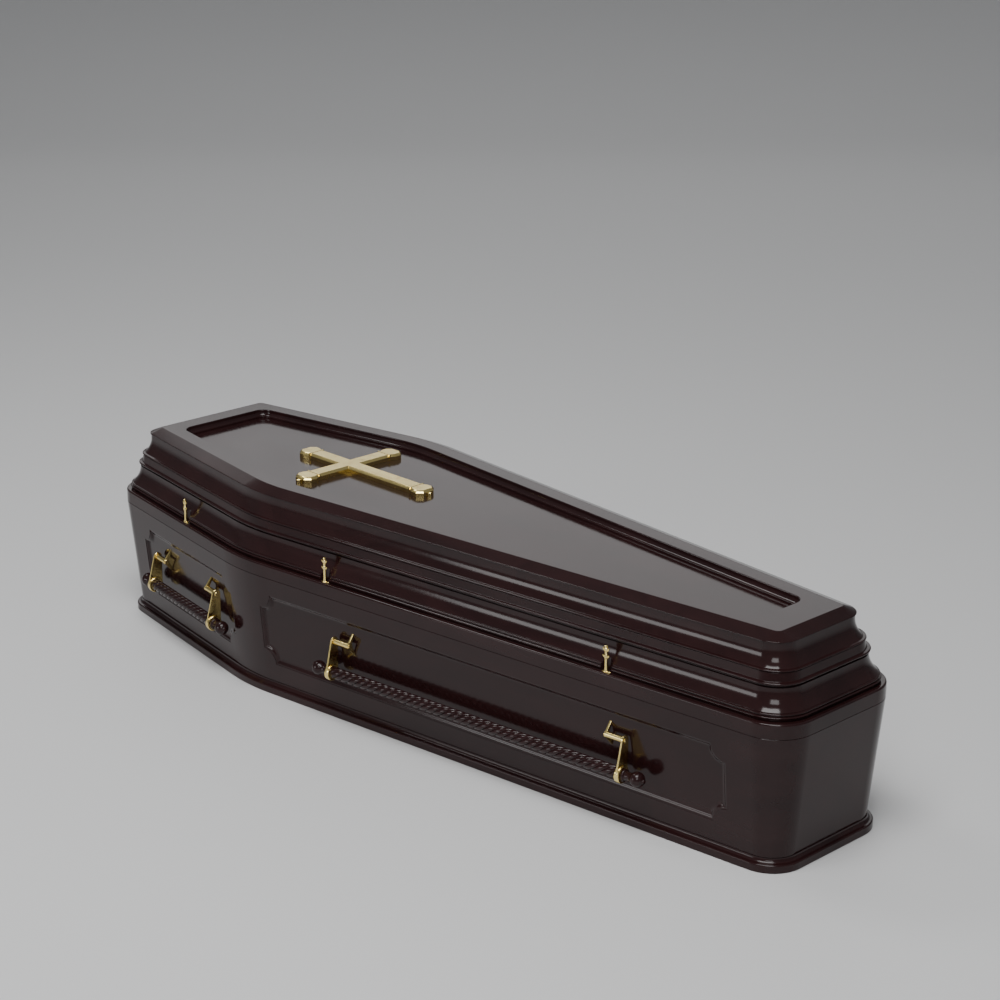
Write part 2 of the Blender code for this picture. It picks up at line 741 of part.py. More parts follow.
def make_screw(name, place, normal):
    seat = LID_Z + BRIM_HEIGHT + GAP
    matrix = screw_matrix(place, normal, seat)
    shank_bottom = LEDGE_Z - SCREW_SHANK_IN_WALL - seat
    loops = [
        circle(SCREW_SHANK_RADIUS, HOLE_SIDES, shank_bottom, phase=0.0),
        circle(SCREW_SHANK_RADIUS, HOLE_SIDES, 0.0, phase=0.0),
        leaf(SCREW_LEAF_LENGTH, SCREW_LEAF_WIDTH, 0.0),
        leaf(SCREW_LEAF_LENGTH - SCREW_LEAF_TOP, SCREW_LEAF_WIDTH - SCREW_LEAF_TOP, SCREW_LEAF_HEIGHT),
    ]
    screw = stack(name, loops, "brass", matrix)
    head = plate(f"{name}_head", screw_head_outline(), matrix)
    fuse(screw, head)
    return screw


def drill_for_screws(walls, brim, lower_moulding):
    drills, niches = [], []
    for name, place, normal in screw_places():
        hole_bottom = LEDGE_Z - SCREW_SHANK_IN_WALL - GAP
        hole_top = LID_Z + BRIM_HEIGHT + GAP
        drill = make_drill(f"{name}_drill", place, SCREW_SHANK_RADIUS + GAP, hole_bottom, hole_top, HOLE_SIDES)
        drill.matrix_world = screw_matrix(place, normal, 0)
        drills.append(drill)
        niches.append(make_drill(f"{name}_niche", place, NICHE_RADIUS, hole_top - 2 * GAP,
                                 LID_Z + LOWER_MOULDING_TOP - GAP, 2 * HOLE_SIDES))
    cut([walls, brim], drills)
    cut([lower_moulding], niches)


# Handles

def handle_matrix(part, hand, lean=0.0):
    """Frame on the hinge axis of a handle: X along it, Y up, Z out from the wall.

    A lean in degrees turns the frame so that what hangs from the axis stands off the wall.
    """
    start, along, normal, _ = side_frame(part, hand)
    place = start + along * HANDLES_FROM_SHOULDER[part] + normal * HANDLE_AXIS_OUT
    up = Vector((0, 0, 1))
    out = Vector((normal.x, normal.y, 0))
    right = up.cross(out)
    matrix = Matrix.Identity(4)
    for column, axis in enumerate((right, up, out)):
        for row in range(3):
            matrix[row][column] = axis[row]
    matrix.translation = (place.x, place.y, HANDLE_AXIS_HEIGHT)
    return matrix @ Matrix.Rotation(math.radians(-lean), 4, "X")


def upright_plate(name, outline_points, x, thickness, finish, matrix):
    """Plate in the handle's YZ plane, centred at x along the hinge axis."""
    loops = [[Vector((px, y, z)) for z, y in outline_points] for px in (x - thickness / 2, x + thickness / 2)]
    return stack(name, loops, finish, matrix, smooth_angle=None)


def rod(name, start, end, radius, y, matrix):
    """Round rod along the hinge direction, y above the hinge axis."""
    loops = [[Vector((x, p.x + y, p.y)) for p in circle(radius, ROUND_SIDES)] for x in (start, end)]
    return stack(name, loops, "brass", matrix)


def lug_outline():
    """Bracket with two legs on the wall and a rounded nose around the pin, as (out, up)."""
    def root(rise):
        z = HANDLE_AXIS_HEIGHT + rise
        sunk = PANEL_DEPTH * math.hypot(1, WALL_LEAN / WALL_HEIGHT)
        return wall_offset(z) - sunk + GAP - HANDLE_AXIS_OUT
    nose = []
    for degrees in (60, 20, -20, -60):
        angle = math.radians(degrees)
        nose.append((LUG_NOSE_RADIUS * math.cos(angle), LUG_NOSE_RADIUS * math.sin(angle)))
    upper, lower = LUG_RISE - LUG_FOOT_HEIGHT, -LUG_FALL + LUG_FOOT_HEIGHT
    crook = (-PIN_RADIUS - LUG_WALL_BEHIND_PIN, 0.0)
    return [(root(LUG_RISE), LUG_RISE), *nose, (root(-LUG_FALL), -LUG_FALL),
            (root(lower), lower), crook, (root(upper), upper)]


def make_lug(name, x, matrix):
    side = math.copysign(1, x)
    lug = upright_plate(name, lug_outline(), x, LUG_THICKNESS, "brass", matrix)
    far_end = abs(x) + ARM_BEYOND_LUG + ARM_THICKNESS / 2 + PIN_END
    pin = rod(f"{name}_pin", *sorted((x, side * far_end)), PIN_RADIUS, 0, matrix)
    fuse(lug, pin)
    return lug


def arm_outline():
    """Teardrop plate: a round head at the pin, widening down to the collar, as (out, up)."""
    slant = math.asin((COLLAR_RADIUS - ARM_HEAD_RADIUS) / HANDLE_DROP)
    side, rise = COLLAR_RADIUS * math.cos(slant), COLLAR_RADIUS * math.sin(slant)
    points = [(-side, rise - HANDLE_DROP), (side, rise - HANDLE_DROP)]
    for k in range(ARM_HEAD_STEPS + 1):
        angle = slant + (math.pi - 2 * slant) * k / ARM_HEAD_STEPS
        points.append((ARM_HEAD_RADIUS * math.cos(angle), ARM_HEAD_RADIUS * math.sin(angle)))
    return points


def make_arm(name, x, matrix):
    arm = upright_plate(name, arm_outline(), x, ARM_THICKNESS, "brass", matrix)
    half = COLLAR_LENGTH / 2
    collar = rod(f"{name}_collar", x - half, x + half, COLLAR_RADIUS, -HANDLE_DROP, matrix)
    eye = rod(f"{name}_eye", x - half, x + half, PIN_RADIUS + PIN_CLEARANCE, 0, matrix)
    bore = rod(f"{name}_bore", x - 2 * half, x + 2 * half, BAR_NECK_RADIUS + GAP, -HANDLE_DROP, matrix)
    fuse(arm, collar)
    cut([arm], [eye, bore])
    return arm


def bar_end_profile(arm_x):
    """(x, radius) pairs of a bar's end: neck in the collar, ring, ball and end button."""
    outside = arm_x + COLLAR_LENGTH / 2 + GAP
    ball = arm_x + BALL_BEYOND_ARM
    return [
        (arm_x - COLLAR_LENGTH / 2 - GAP, BAR_NECK_RADIUS),
        (outside, BAR_NECK_RADIUS),
        (outside, BALL_RING_RADIUS),
        (ball - BALL_RADIUS, BALL_RING_RADIUS),
        (ball - BALL_SHOULDER_AT, BALL_SHOULDER_RADIUS),
        (ball, BALL_RADIUS),
        (ball + BALL_SHOULDER_AT, BALL_SHOULDER_RADIUS),
        (ball + BALL_BUTTON_AT, BALL_BUTTON_RADIUS),
    ]


def make_bar(name, arm_x, matrix):
    """Rope-twist grip with a smooth neck in each collar and a turned ball at each end."""
    bm = bmesh.new()

    def row(x, radius, sides, phase):
        points = circle(radius, sides, phase=phase)
        return [bm.verts.new((x, p.x - HANDLE_DROP, p.y)) for p in points]

    profile = bar_end_profile(arm_x)
    half = profile[0][0]
    count = round(2 * half / BAR_TWIST_LEAD * BAR_STEPS_PER_TURN)
    grip = []
    for k in range(count + 1):
        x = half * (2 * k / count - 1)
        grip.append(row(x, BAR_RADIUS, BAR_STRANDS, -BAR_STRANDS * x / BAR_TWIST_LEAD))
    for before, after in zip(grip, grip[1:]):
        bridge(bm, before, after)
    for side, last in ((-1, grip[0]), (1, grip[-1])):
        rings = [row(side * x, radius, ROUND_SIDES, 0.5) for x, radius in profile]
        rims = [bm.edges.new((rings[0][k - 1], rings[0][k])) for k in range(ROUND_SIDES)]
        rims += [bm.edges.get((last[k - 1], last[k])) for k in range(BAR_STRANDS)]
        for before, after in zip(rings, rings[1:]):
            bridge(bm, before, after)
        bm.faces.new(rings[-1])
        bmesh.ops.triangle_fill(bm, use_beauty=True, use_dissolve=False, edges=rims, normal=(side, 0, 0))
    return new_object(name, bm, "dark_wood", matrix, smooth_angle=35)


def make_handle(part, hand, word):
    label = f"{part}_{word}"
    fixed, hanging = handle_matrix(part, hand), handle_matrix(part, hand, HANDLE_REST_LEAN)
    lug_x = LUG_SPACING[part] / 2
    arm_x = lug_x + ARM_BEYOND_LUG
    for number, side in enumerate((-1, 1), start=1):
        make_lug(f"handle_lug_{label}_{number}", side * lug_x, fixed)
        make_arm(f"handle_arm_{label}_{number}", side * arm_x, hanging)
    make_bar(f"handle_bar_{label}", arm_x, hanging)


def main():
    clear_scene()
    make_base_board()
    walls = make_walls()
    sides = [(part, hand) for part in ("side", "shoulder") for hand in (-1, 1)]
    cut([walls], [make_panel_cutter(part, hand) for part, hand in sides])
    make_lining()
    brim = make_brim()
    lower_moulding = make_lower_moulding()
    make_upper_moulding()
    make_lid_top()
    make_cross()
    drill_for_screws(walls, brim, lower_moulding)
    for name, place, normal in screw_places():
        make_screw(name, place, normal)
    for part, hand in sides:
        make_handle(part, hand, HANDS[hand])


main()
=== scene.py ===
"""Looks of the wooden coffin: lacquered boards, brass fittings and padded lining.

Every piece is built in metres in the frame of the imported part: Z up, head end towards -X,
foot end towards +X. The six-sided plan is drawn at the outer edge of the ledge that the lid
rests on, and each tier of the coffin is an offset of it.
"""
import math

import bmesh
import bpy
from bpy.props import FloatProperty, FloatVectorProperty, IntProperty, PointerProperty
from mathutils import Matrix, Vector


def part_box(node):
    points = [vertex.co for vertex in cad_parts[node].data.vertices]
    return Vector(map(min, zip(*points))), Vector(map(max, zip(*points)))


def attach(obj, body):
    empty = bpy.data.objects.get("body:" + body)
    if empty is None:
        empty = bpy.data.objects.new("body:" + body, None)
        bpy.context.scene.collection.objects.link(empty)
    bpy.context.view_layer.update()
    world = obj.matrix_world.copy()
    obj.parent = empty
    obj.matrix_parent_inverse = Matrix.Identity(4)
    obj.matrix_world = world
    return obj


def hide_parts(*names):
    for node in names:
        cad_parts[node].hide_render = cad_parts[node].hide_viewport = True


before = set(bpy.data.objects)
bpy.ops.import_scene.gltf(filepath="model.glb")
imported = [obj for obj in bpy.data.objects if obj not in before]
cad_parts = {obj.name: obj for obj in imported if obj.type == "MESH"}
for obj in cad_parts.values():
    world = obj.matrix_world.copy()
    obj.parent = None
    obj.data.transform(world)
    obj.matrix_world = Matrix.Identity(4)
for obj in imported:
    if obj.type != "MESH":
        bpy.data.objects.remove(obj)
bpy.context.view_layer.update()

bl_info = {
    "name": "Wooden Coffin",
    "version": (1, 0, 0),
    "blender": (4, 5, 0),
    "location": "3D View > Sidebar > Coffin",
    "description": "Builds a lacquered six-sided coffin with its lid, fittings and lining",
    "category": "Object",
}

BODY = "coffin"
HANDS = {-1: "right", 1: "left"}
SIDES = [(part, hand) for part in ("side", "shoulder") for hand in HANDS]
GAP = 0.0003
GRAIN_SWAY = 0.02


def length(name, default, description):
    """A length property in metres."""
    return FloatProperty(name=name, default=default, description=description, unit="LENGTH", precision=4)


def share(name, default, description):
    """A property that is a share from 0 to 1."""
    return FloatProperty(name=name, default=default, description=description, min=0, max=1, subtype="FACTOR")


def colour(name, default, description):
    """A linear colour property."""
    return FloatVectorProperty(name=name, default=default, description=description, size=3, subtype="COLOR")


def tilt(name, degrees, description):
    """An angle property, given in degrees."""
    return FloatProperty(name=name, default=math.radians(degrees), description=description, subtype="ANGLE")


def steps(name, default, description):
    """A number of steps that an arc is drawn with."""
    return IntProperty(name=name, default=default, description=description, min=1)


class CoffinPlan(bpy.types.PropertyGroup):
    """Plan of the coffin at the outer edge of the ledge."""

    length: length("Length", 2.000, "Overall length")
    head_width: length("Head width", 0.440, "Width at the head end")
    shoulder_width: length("Shoulder width", 0.641, "Greatest width")
    foot_width: length("Foot width", 0.346, "Width at the foot end")
    shoulder_from_head: length("Shoulder from head", 0.595, "Distance of the widest place from the head")
    head_radius: length("Head corner radius", 0.076, "Radius of the two head corners")
    shoulder_radius: length("Shoulder radius", 0.500, "Radius of the two shoulder bends")
    foot_radius: length("Foot corner radius", 0.083, "Radius of the two foot corners")
    least_radius: length("Least radius", 0.012, "Smallest radius that an inset corner keeps")
    corner_steps: steps("Corner steps", 14, "Steps in each end corner")
    shoulder_steps: steps("Shoulder steps", 8, "Steps in each shoulder bend")


class CoffinBox(bpy.types.PropertyGroup):
    """Sizes of the base board, walls and routed panels."""

    base_thickness: length("Base thickness", 0.0255, "Thickness of the base board")
    base_overhang: length("Base overhang", 0.0130, "How far the base stands out past the walls")
    base_face: length("Base face height", 0.0140, "Height of the upright edge of the base")
    base_nosing: length("Base nosing", 0.0030, "Radius of the rounded top of that edge")
    base_shelf: length("Base shelf", 0.0050, "Width of the step above the nosing")
    wall_height: length("Wall height", 0.2500, "Height from the base board to the ledge")
    wall_thickness: length("Wall thickness", 0.0260, "Thickness of the walls at the ledge")
    wall_lean: length("Wall lean", 0.0235, "How much further out the ledge is than the wall's foot")
    ledge_width: length("Ledge width", 0.0129, "Width of the ledge outside the lip")
    lip_height: length("Lip height", 0.0130, "Height of the lip over the ledge")
    edge_round: length("Edge rounding", 0.0012, "Radius of eased edges")
    panel_from_shoulder: length("Panel from shoulder", 0.0555, "From the shoulder to a panel")
    panel_from_head: length("Panel from head", 0.1200, "From the head corner to a panel")
    panel_from_foot: length("Panel from foot", 0.1300, "From the foot corner to a panel")
    panel_from_base: length("Panel from base", 0.0440, "From the base board to a panel")
    panel_from_ledge: length("Panel from ledge", 0.0405, "From the ledge to a panel")
    panel_depth: length("Panel depth", 0.0060, "Depth of the routed panels")
    panel_border: length("Panel border", 0.0145, "Width of the moulded border")
    notch_radius: length("Notch radius", 0.0330, "Radius of the scooped corners outside the border")
    notch_inner: length("Inner notch radius", 0.0285, "Radius of the scooped corners inside the border")
    notch_steps: steps("Notch steps", 10, "Steps in each scooped corner")


class CoffinLid(bpy.types.PropertyGroup):
    """Heights above the ledge and setbacks from its edge, tier by tier."""

    height: length("Lid height", 0.1763, "Height of the lid above the ledge")
    corner_keep: share("Corner keep", 0.6, "Share of each setback that comes off the corner radius")
    brim_height: length("Brim height", 0.0300, "Height of the brim")
    brim_width: length("Brim width", 0.0400, "Width of the brim")
    brim_round: length("Brim rounding", 0.0040, "Radius of the brim's upper edge")
    lip_clearance: length("Lip clearance", 0.0015, "Room between the brim and the lip")
    lower_top: length("Lower moulding top", 0.0905, "Top of the lower moulding")
    lower_inside: length("Lower moulding inside", 0.0530, "Setback of its inner face")
    upper_top: length("Upper moulding top", 0.1625, "Top of the upper moulding")
    upper_inside: length("Upper moulding inside", 0.0750, "Setback of its inner face")
    plug_clearance: length("Plug clearance", 0.0020, "Room round the tongue of the top board")
    chamfer_setback: length("Chamfer setback", 0.0850, "Setback of the flat top's edge")
    edge_setback: length("Edge setback", 0.0555, "Setback of the top board's edge")
    edge_height: length("Edge height", 0.0020, "Upright height of the top board's edge")
    sunken_sides: length("Sunken panel from sides", 0.1205, "Setback of the sunken panel from the sides")
    sunken_head: length("Sunken panel from head", 0.1310, "Setback of the sunken panel from the head")
    sunken_foot: length("Sunken panel from foot", 0.1550, "Setback of the sunken panel from the foot")
    sunken_depth: length("Sunken depth", 0.0180, "Depth of the sunken panel")
    sunken_step: length("Sunken step", 0.0100, "Width of the moulded step round it")
    sunken_radius: length("Sunken corner radius", 0.0300, "Radius of its corners")
    board: length("Panel board", 0.0133, "Thickness of the board under the sunken panel")
    niche_radius: length("Niche radius", 0.0130, "Radius of the hollow behind each thumb screw")


class CoffinFittings(bpy.types.PropertyGroup):
    """Sizes of the cross, the thumb screws and the handles."""

    cross_from_head: length("Cross from head", 0.5950, "Where the arms cross")
    cross_head_arm: length("Head arm", 0.1640, "Length of the arm towards the head")
    cross_foot_arm: length("Foot arm", 0.2730, "Length of the arm towards the foot")
    cross_side_arm: length("Side arm", 0.1510, "Length of the side arms")
    cross_width: length("Arm width", 0.0400, "Width of the arms")
    cross_end_width: length("End width", 0.0520, "Width of the flared ends")
    cross_end_length: length("End length", 0.0400, "Length of the flared ends")
    cross_flare: length("Flare", 0.0120, "Length over which an end widens")
    cross_blunt_width: length("Blunt width", 0.0280, "Width of the blunt faces of the ends")
    cross_tip: length("Tip length", 0.0080, "Length of the pointed tips")
    cross_tip_width: length("Tip width", 0.0110, "Width of the pointed tips")
    cross_thickness: length("Cross thickness", 0.0140, "Thickness of the cross")
    cross_bevel: length("Cross bevel", 0.0045, "Width of the bright bevel round the cross")
    screw_height: length("Screw height", 0.0550, "Height of a screw over the brim")
    screw_in_wall: length("Screw in wall", 0.0120, "Depth of the screw in the wall")
    leaf_length: length("Leaf length", 0.0220, "Length of the leaf under each screw head")
    leaf_width: length("Leaf width", 0.0096, "Width of that leaf")
    lug_half_side: length("Side lug place", 0.3410, "From a side handle's middle to its lugs")
    lug_half_shoulder: length("Shoulder lug place", 0.1030, "From a shoulder handle's middle to its lugs")
    handle_side: length("Side handle place", 0.6707, "From the shoulder to a side handle's middle")
    handle_shoulder: length("Shoulder handle place", 0.2600, "From the shoulder to its handle's middle")
    arm_beyond: length("Arm beyond lug", 0.0435, "From a lug to the arm")
    ball_beyond: length("Ball beyond arm", 0.0380, "From an arm to the ball")
    axis_out: length("Hinge axis out", -0.0005, "From the edge of the ledge out to the hinge axis")
    axis_height: length("Hinge height", 0.1828, "Height of the hinge axis")
    drop: length("Drop", 0.0682, "From the hinge axis down to the bar")
    rest_lean: tilt("Rest lean", 7.7, "How far a hanging handle stands off the upright")
    pin_radius: length("Pin radius", 0.0050, "Radius of the hinge pins")
    lug_rise: length("Lug rise", 0.0245, "Height of a lug over its pin")
    lug_fall: length("Lug fall", 0.0270, "Depth of a lug under its pin")
    lug_foot: length("Lug foot", 0.0085, "Height of each of a lug's two feet on the wall")
    lug_thickness: length("Lug thickness", 0.0045, "Thickness of the lugs")
    arm_thickness: length("Arm thickness", 0.0040, "Thickness of the arms")
    arm_head: length("Arm head radius", 0.0100, "Radius of an arm round its pin")
    collar_radius: length("Collar radius", 0.0180, "Radius of an arm round the bar")
    collar_length: length("Collar length", 0.0110, "Length of the collar along the bar")
    bar_radius: length("Bar radius", 0.0130, "Radius over the strands")
    bar_groove: length("Bar groove radius", 0.0100, "Radius at the bottom of the grooves")
    bar_neck: length("Bar neck radius", 0.0098, "Radius of the neck in each collar")
    bar_lead: length("Twist lead", 0.0930, "Length of one full turn of the strands")
    strands: steps("Strands", 5, "Strands of the rope twist")
    ball_radius: length("Ball radius", 0.0157, "Radius of the ball at each end")


class CoffinLining(bpy.types.PropertyGroup):
    """Sizes of the padded lining."""

    thickness: length("Padding", 0.0450, "Thickness of the padded panels")
    top_drop: length("Top drop", 0.0050, "From the top of the lip down to the padding")
    swell_room: length("Swell room", 0.0030, "How much smaller a pad starts before it swells")
    voxel: length("Voxel", 0.0080, "Size of the voxels that a pad is remeshed with")
    cap: length("Cap", 0.0050, "Furthest that a point may move while the pad swells")
    seam: length("Seam", 0.0014, "Gap at the mitred seams")
    floor_pad: length("Floor pad", 0.0200, "Thickness of the floor pad")
    button_radius: length("Button radius", 0.0110, "Radius of the covered buttons")
    tuft_depth: length("Tuft depth", 0.0060, "How deep a button pulls the padding in")
    tuft_radius: length("Tuft radius", 0.0200, "How far round a button the padding is pulled")


class CoffinFinish(bpy.types.PropertyGroup):
    """Colours and gloss."""

    wood_dark: colour("Wood, dark grain", (0.0150, 0.0052, 0.0054), "Darkest lacquered wood")
    wood_light: colour("Wood, light grain", (0.0235, 0.0080, 0.0082), "Lightest lacquered wood")
    brass: colour("Brass", (0.90, 0.72, 0.29), "Polished brass")
    brass_shade: colour("Brass, dulled", (0.72, 0.55, 0.20), "Brass where handling has dulled it")
    cloth: colour("Lining", (0.66, 0.53, 0.48), "Lining cloth")
    # Painted shade: the darker lining colour, laid where the weave is lowest between the threads.
    cloth_weave_shade: colour("Lining, between threads", (0.47, 0.36, 0.32), "Lining cloth between its threads")
    backdrop: colour("Backdrop", (0.70, 0.70, 0.70), "Studio floor and backdrop")


class StudioSettings(bpy.types.PropertyGroup):
    """Camera and lights."""

    camera_place: FloatVectorProperty(name="Camera place", default=(3.3016, -3.0908, 1.9908),
                                      description="Where the camera stands", size=3, subtype="XYZ")
    camera_pitch: tilt("Camera pitch", 71.285, "Tilt from looking straight down")
    camera_heading: tilt("Camera heading", 46.158, "Turn about the upright axis")
    lens: FloatProperty(name="Lens", default=81.07, description="Focal length in millimetres", min=1)


def plan():
    return bpy.context.scene.coffin_plan


def box_sizes():
    return bpy.context.scene.coffin_box


def lid_sizes():
    return bpy.context.scene.coffin_lid


def fittings():
    return bpy.context.scene.coffin_fittings


def lining_sizes():
    return bpy.context.scene.coffin_lining


def finish():
    return bpy.context.scene.coffin_finish


# Plan of the coffin

def plan_corners():
    """The right half of the plan: head corner, shoulder and foot corner."""
    p = plan()
    head = Vector((-p.length / 2, -p.head_width / 2))
    shoulder = Vector((-p.length / 2 + p.shoulder_from_head, -p.shoulder_width / 2))
    foot = Vector((p.length / 2, -p.foot_width / 2))
    return head, shoulder, foot


def outward(start, end):
    along = (end - start).normalized()
    return Vector((along.y, -along.x))


def plan_lines(sides=0.0, head_end=0.0, foot_end=0.0):
    """The plan's six lines as outward normal and distance, anticlockwise from the head."""
    head, shoulder, foot = plan_corners()
    short_normal, long_normal = outward(head, shoulder), outward(shoulder, foot)
    short = (short_normal, short_normal.dot(shoulder) + sides)
    long = (long_normal, long_normal.dot(shoulder) + sides)
    mirrored = [(Vector((n.x, -n.y)), d) for n, d in (long, short)]
    half = plan().length / 2
    return [(Vector((-1, 0)), half + head_end), short, long, (Vector((1, 0)), half + foot_end), *mirrored]


def corner_point(line, other):
    (n1, d1), (n2, d2) = line, other
    across = n1.x * n2.y - n1.y * n2.x
    return Vector(((d1 * n2.y - d2 * n1.y) / across, (n1.x * d2 - n2.x * d1) / across))


def corner_steps():
    """Steps in each of the plan's six corners, anticlockwise from the head."""
    p = plan()
    return [p.shoulder_steps if i in (1, 4) else p.corner_steps for i in range(6)]


def outline(sides, head_end=None, foot_end=None, corner_keep=1.0, radii=None):
    """Rounded plan moved outwards by `sides`; the ends may move by other amounts."""
    p = plan()
    head_end = sides if head_end is None else head_end
    foot_end = sides if foot_end is None else foot_end
    lines = plan_lines(sides, head_end, foot_end)
    if radii is None:
        base = (p.head_radius, p.shoulder_radius, p.foot_radius)
        radii = [max(r + corner_keep * sides, p.least_radius) for r in base]
    head, shoulder, foot = radii
    points = []
    counts = corner_steps()
    for i, radius in enumerate((head, shoulder, foot, foot, shoulder, head)):
        (n1, d1), (n2, d2) = lines[i], lines[(i + 1) % 6]
        centre = corner_point((n1, d1 - radius), (n2, d2 - radius))
        start = math.atan2(n1.y, n1.x)
        turn = math.acos(max(-1.0, min(1.0, n1.dot(n2))))
        for k in range(counts[i] + 1):
            angle = start + turn * k / counts[i]
            points.append(centre + radius * Vector((math.cos(angle), math.sin(angle))))
    return points


def level(points, z):
    return [Vector((p.x, p.y, z)) for p in points]


def ledge_z():
    b = box_sizes()
    return b.base_thickness + b.wall_height


def lid_z():
    return ledge_z() + GAP


def wall_offset(z):
    """How far the outer wall face stands out from the ledge's edge at a height."""
    b = box_sizes()
    return -b.wall_lean * (ledge_z() - z) / b.wall_height


def side_frame(part, hand):
    """Start at the shoulder, direction away from it, outward normal and length of a side."""
    head, shoulder, foot = plan_corners()
    end = foot if part == "side" else head
    normal = outward(shoulder, foot) if part == "side" else outward(head, shoulder)
    flip = Vector((1, -hand))
    return shoulder * flip, (end - shoulder).normalized() * flip, normal * flip, (end - shoulder).length


def axes_matrix(right, up, out, place):
    matrix = Matrix.Identity(4)
    for column, axis in enumerate((right, up, out)):
        for row in range(3):
            matrix[row][column] = axis[row]
    matrix.translation = place
    return matrix


def wall_matrix(part, hand, distance, z):
    """Frame on the leaning wall face: X along it, Y up its slope, Z straight out of it."""
    start, along, normal, _ = side_frame(part, hand)
    b = box_sizes()
    place = start + along * distance + normal * wall_offset(z)
    lean = b.wall_lean / b.wall_height
    up = Vector((normal.x * lean, normal.y * lean, 1)).normalized()
    out = Vector((normal.x, normal.y, -lean)).normalized()
    return axes_matrix(up.cross(out), up, out, (place.x, place.y, z))


# Profiles, as (setback, height) pairs

def arc(centre, radius, start, end, count):
    """Points of an arc, with angles in degrees."""
    points = []
    for k in range(count + 1):
        angle = math.radians(start + (end - start) * k / count)
        points.append((centre[0] + radius * math.cos(angle), centre[1] + radius * math.sin(angle)))
    return points


def bead(setback, peak, bottom, top, count=8):
    """Half-round bead standing out from setback to peak between two heights."""
    middle, half = (bottom + top) / 2, (top - bottom) / 2
    points = []
    for k in range(count + 1):
        angle = math.pi * (k / count - 0.5)
        points.append((setback + (peak - setback) * math.cos(angle), middle + half * math.sin(angle)))
    return points


def cove(bottom, bottom_setback, top, top_setback, count=14):
    """Hollow arc that is upright at its top."""
    height = top - bottom
    half_angle = math.atan2(top_setback - bottom_setback, height)
    radius = height / math.sin(2 * half_angle)
    points = []
    for k in range(count + 1):
        angle = 2 * half_angle * (1 - k / count)
        points.append((top_setback - radius * (1 - math.cos(angle)), top - radius * math.sin(angle)))
    return points


def ease(profile, radius, closed=True, sharper_than=25):
    """The profile with each sharp corner replaced by a small curve."""
    eased = []
    count = len(profile)
    for k in range(count):
        here = Vector(profile[k])
        if not closed and k in (0, count - 1):
            eased.append(tuple(here))
            continue
        before, after = Vector(profile[k - 1]), Vector(profile[(k + 1) % count])
        back, ahead = before - here, after - here
        turn = math.degrees(math.pi - back.angle(ahead))
        if turn < sharper_than:
            eased.append(tuple(here))
            continue
        reach = min(radius, back.length * 0.45, ahead.length * 0.45)
        a, b = here + back.normalized() * reach, here + ahead.normalized() * reach
        for t in (0.0, 0.33, 0.67, 1.0):
            eased.append(tuple(a * (1 - t) ** 2 + here * 2 * t * (1 - t) + b * t ** 2))
    return eased


# Mesh building

def bridge(bm, lower, upper):
    count = len(lower)
    for k in range(count):
        j = (k + 1) % count
        bm.faces.new((lower[k], lower[j], upper[j], upper[k]))


def make_object(name, bm, matrix=None, sharp_angle=None):
    bmesh.ops.recalc_face_normals(bm, faces=bm.faces)
    mesh = bpy.data.meshes.new(name)
    bm.to_mesh(mesh)
    bm.free()
    mesh.shade_smooth()
    if sharp_angle:
        mesh.set_sharp_from_angle(angle=math.radians(sharp_angle))
    if matrix is not None:
        mesh.transform(matrix)
    obj = bpy.data.objects.new(name, mesh)
    bpy.context.collection.objects.link(obj)
    return obj


def loft(name, loops, matrix=None, closed_ring=False, sharp_angle=None):
    """Skin over loops, either closed on itself as a ring or capped at both ends."""
    bm = bmesh.new()
    rows = [[bm.verts.new(p) for p in loop] for loop in loops]
    for k in range(len(rows) - (0 if closed_ring else 1)):
        bridge(bm, rows[k], rows[(k + 1) % len(rows)])
    if not closed_ring:
        bm.faces.new(reversed(rows[0]))
        bm.faces.new(rows[-1])
    return make_object(name, bm, matrix, sharp_angle)


def baked_mesh(obj):
    """The object's mesh as its modifiers leave it."""
    depsgraph = bpy.context.evaluated_depsgraph_get()
    return bpy.data.meshes.new_from_object(obj.evaluated_get(depsgraph))


def apply_all(obj):
    mesh = baked_mesh(obj)
    old = obj.data
    obj.modifiers.clear()
    obj.data = mesh
    bpy.data.meshes.remove(old)


def combine(obj, others, operation, sharp_angle=30):
    """Boolean of other solids with the object; the others are used up."""
    for other in others:
        modifier = obj.modifiers.new(operation.title(), "BOOLEAN")
        modifier.operation = operation
        modifier.solver = "EXACT"
        modifier.object = other
    apply_all(obj)
    for other in others:
        bpy.data.objects.remove(other)
    obj.data.shade_smooth()
    obj.data.set_sharp_from_angle(angle=math.radians(sharp_angle))


def finish_piece(obj, slot, body, *nodes):
    """Gives a piece its material and its body, and hides the CAD nodes that it stands for."""
    obj.data.materials.clear()
    obj.data.materials.append(material(slot))
    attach(obj, body)
    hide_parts(*nodes)


def finish_board(obj, node):
    """Lacquers a board; normals weighted by face area keep eased edges from shading its flats."""
    modifier = obj.modifiers.new("Flat faces", "WEIGHTED_NORMAL")
    modifier.keep_sharp = True
    modifier.weight = 60
    finish_piece(obj, "dark_wood", BODY, node)


# Shader building

def put(tree, kind, inputs=None, **settings):
    """Adds a node; inputs maps socket names or numbers to values or to other sockets."""
    made = tree.nodes.new(kind)
    for name, value in settings.items():
        setattr(made, name, value)
    for name, value in (inputs or {}).items():
        socket = made.inputs[name]
        if isinstance(value, bpy.types.NodeSocket):
            tree.links.new(value, socket)
        else:
            socket.default_value = value
    return made


def math_node(tree, operation, first, second=0.0):
    return put(tree, "ShaderNodeMath", {0: first, 1: second}, operation=operation).outputs[0]


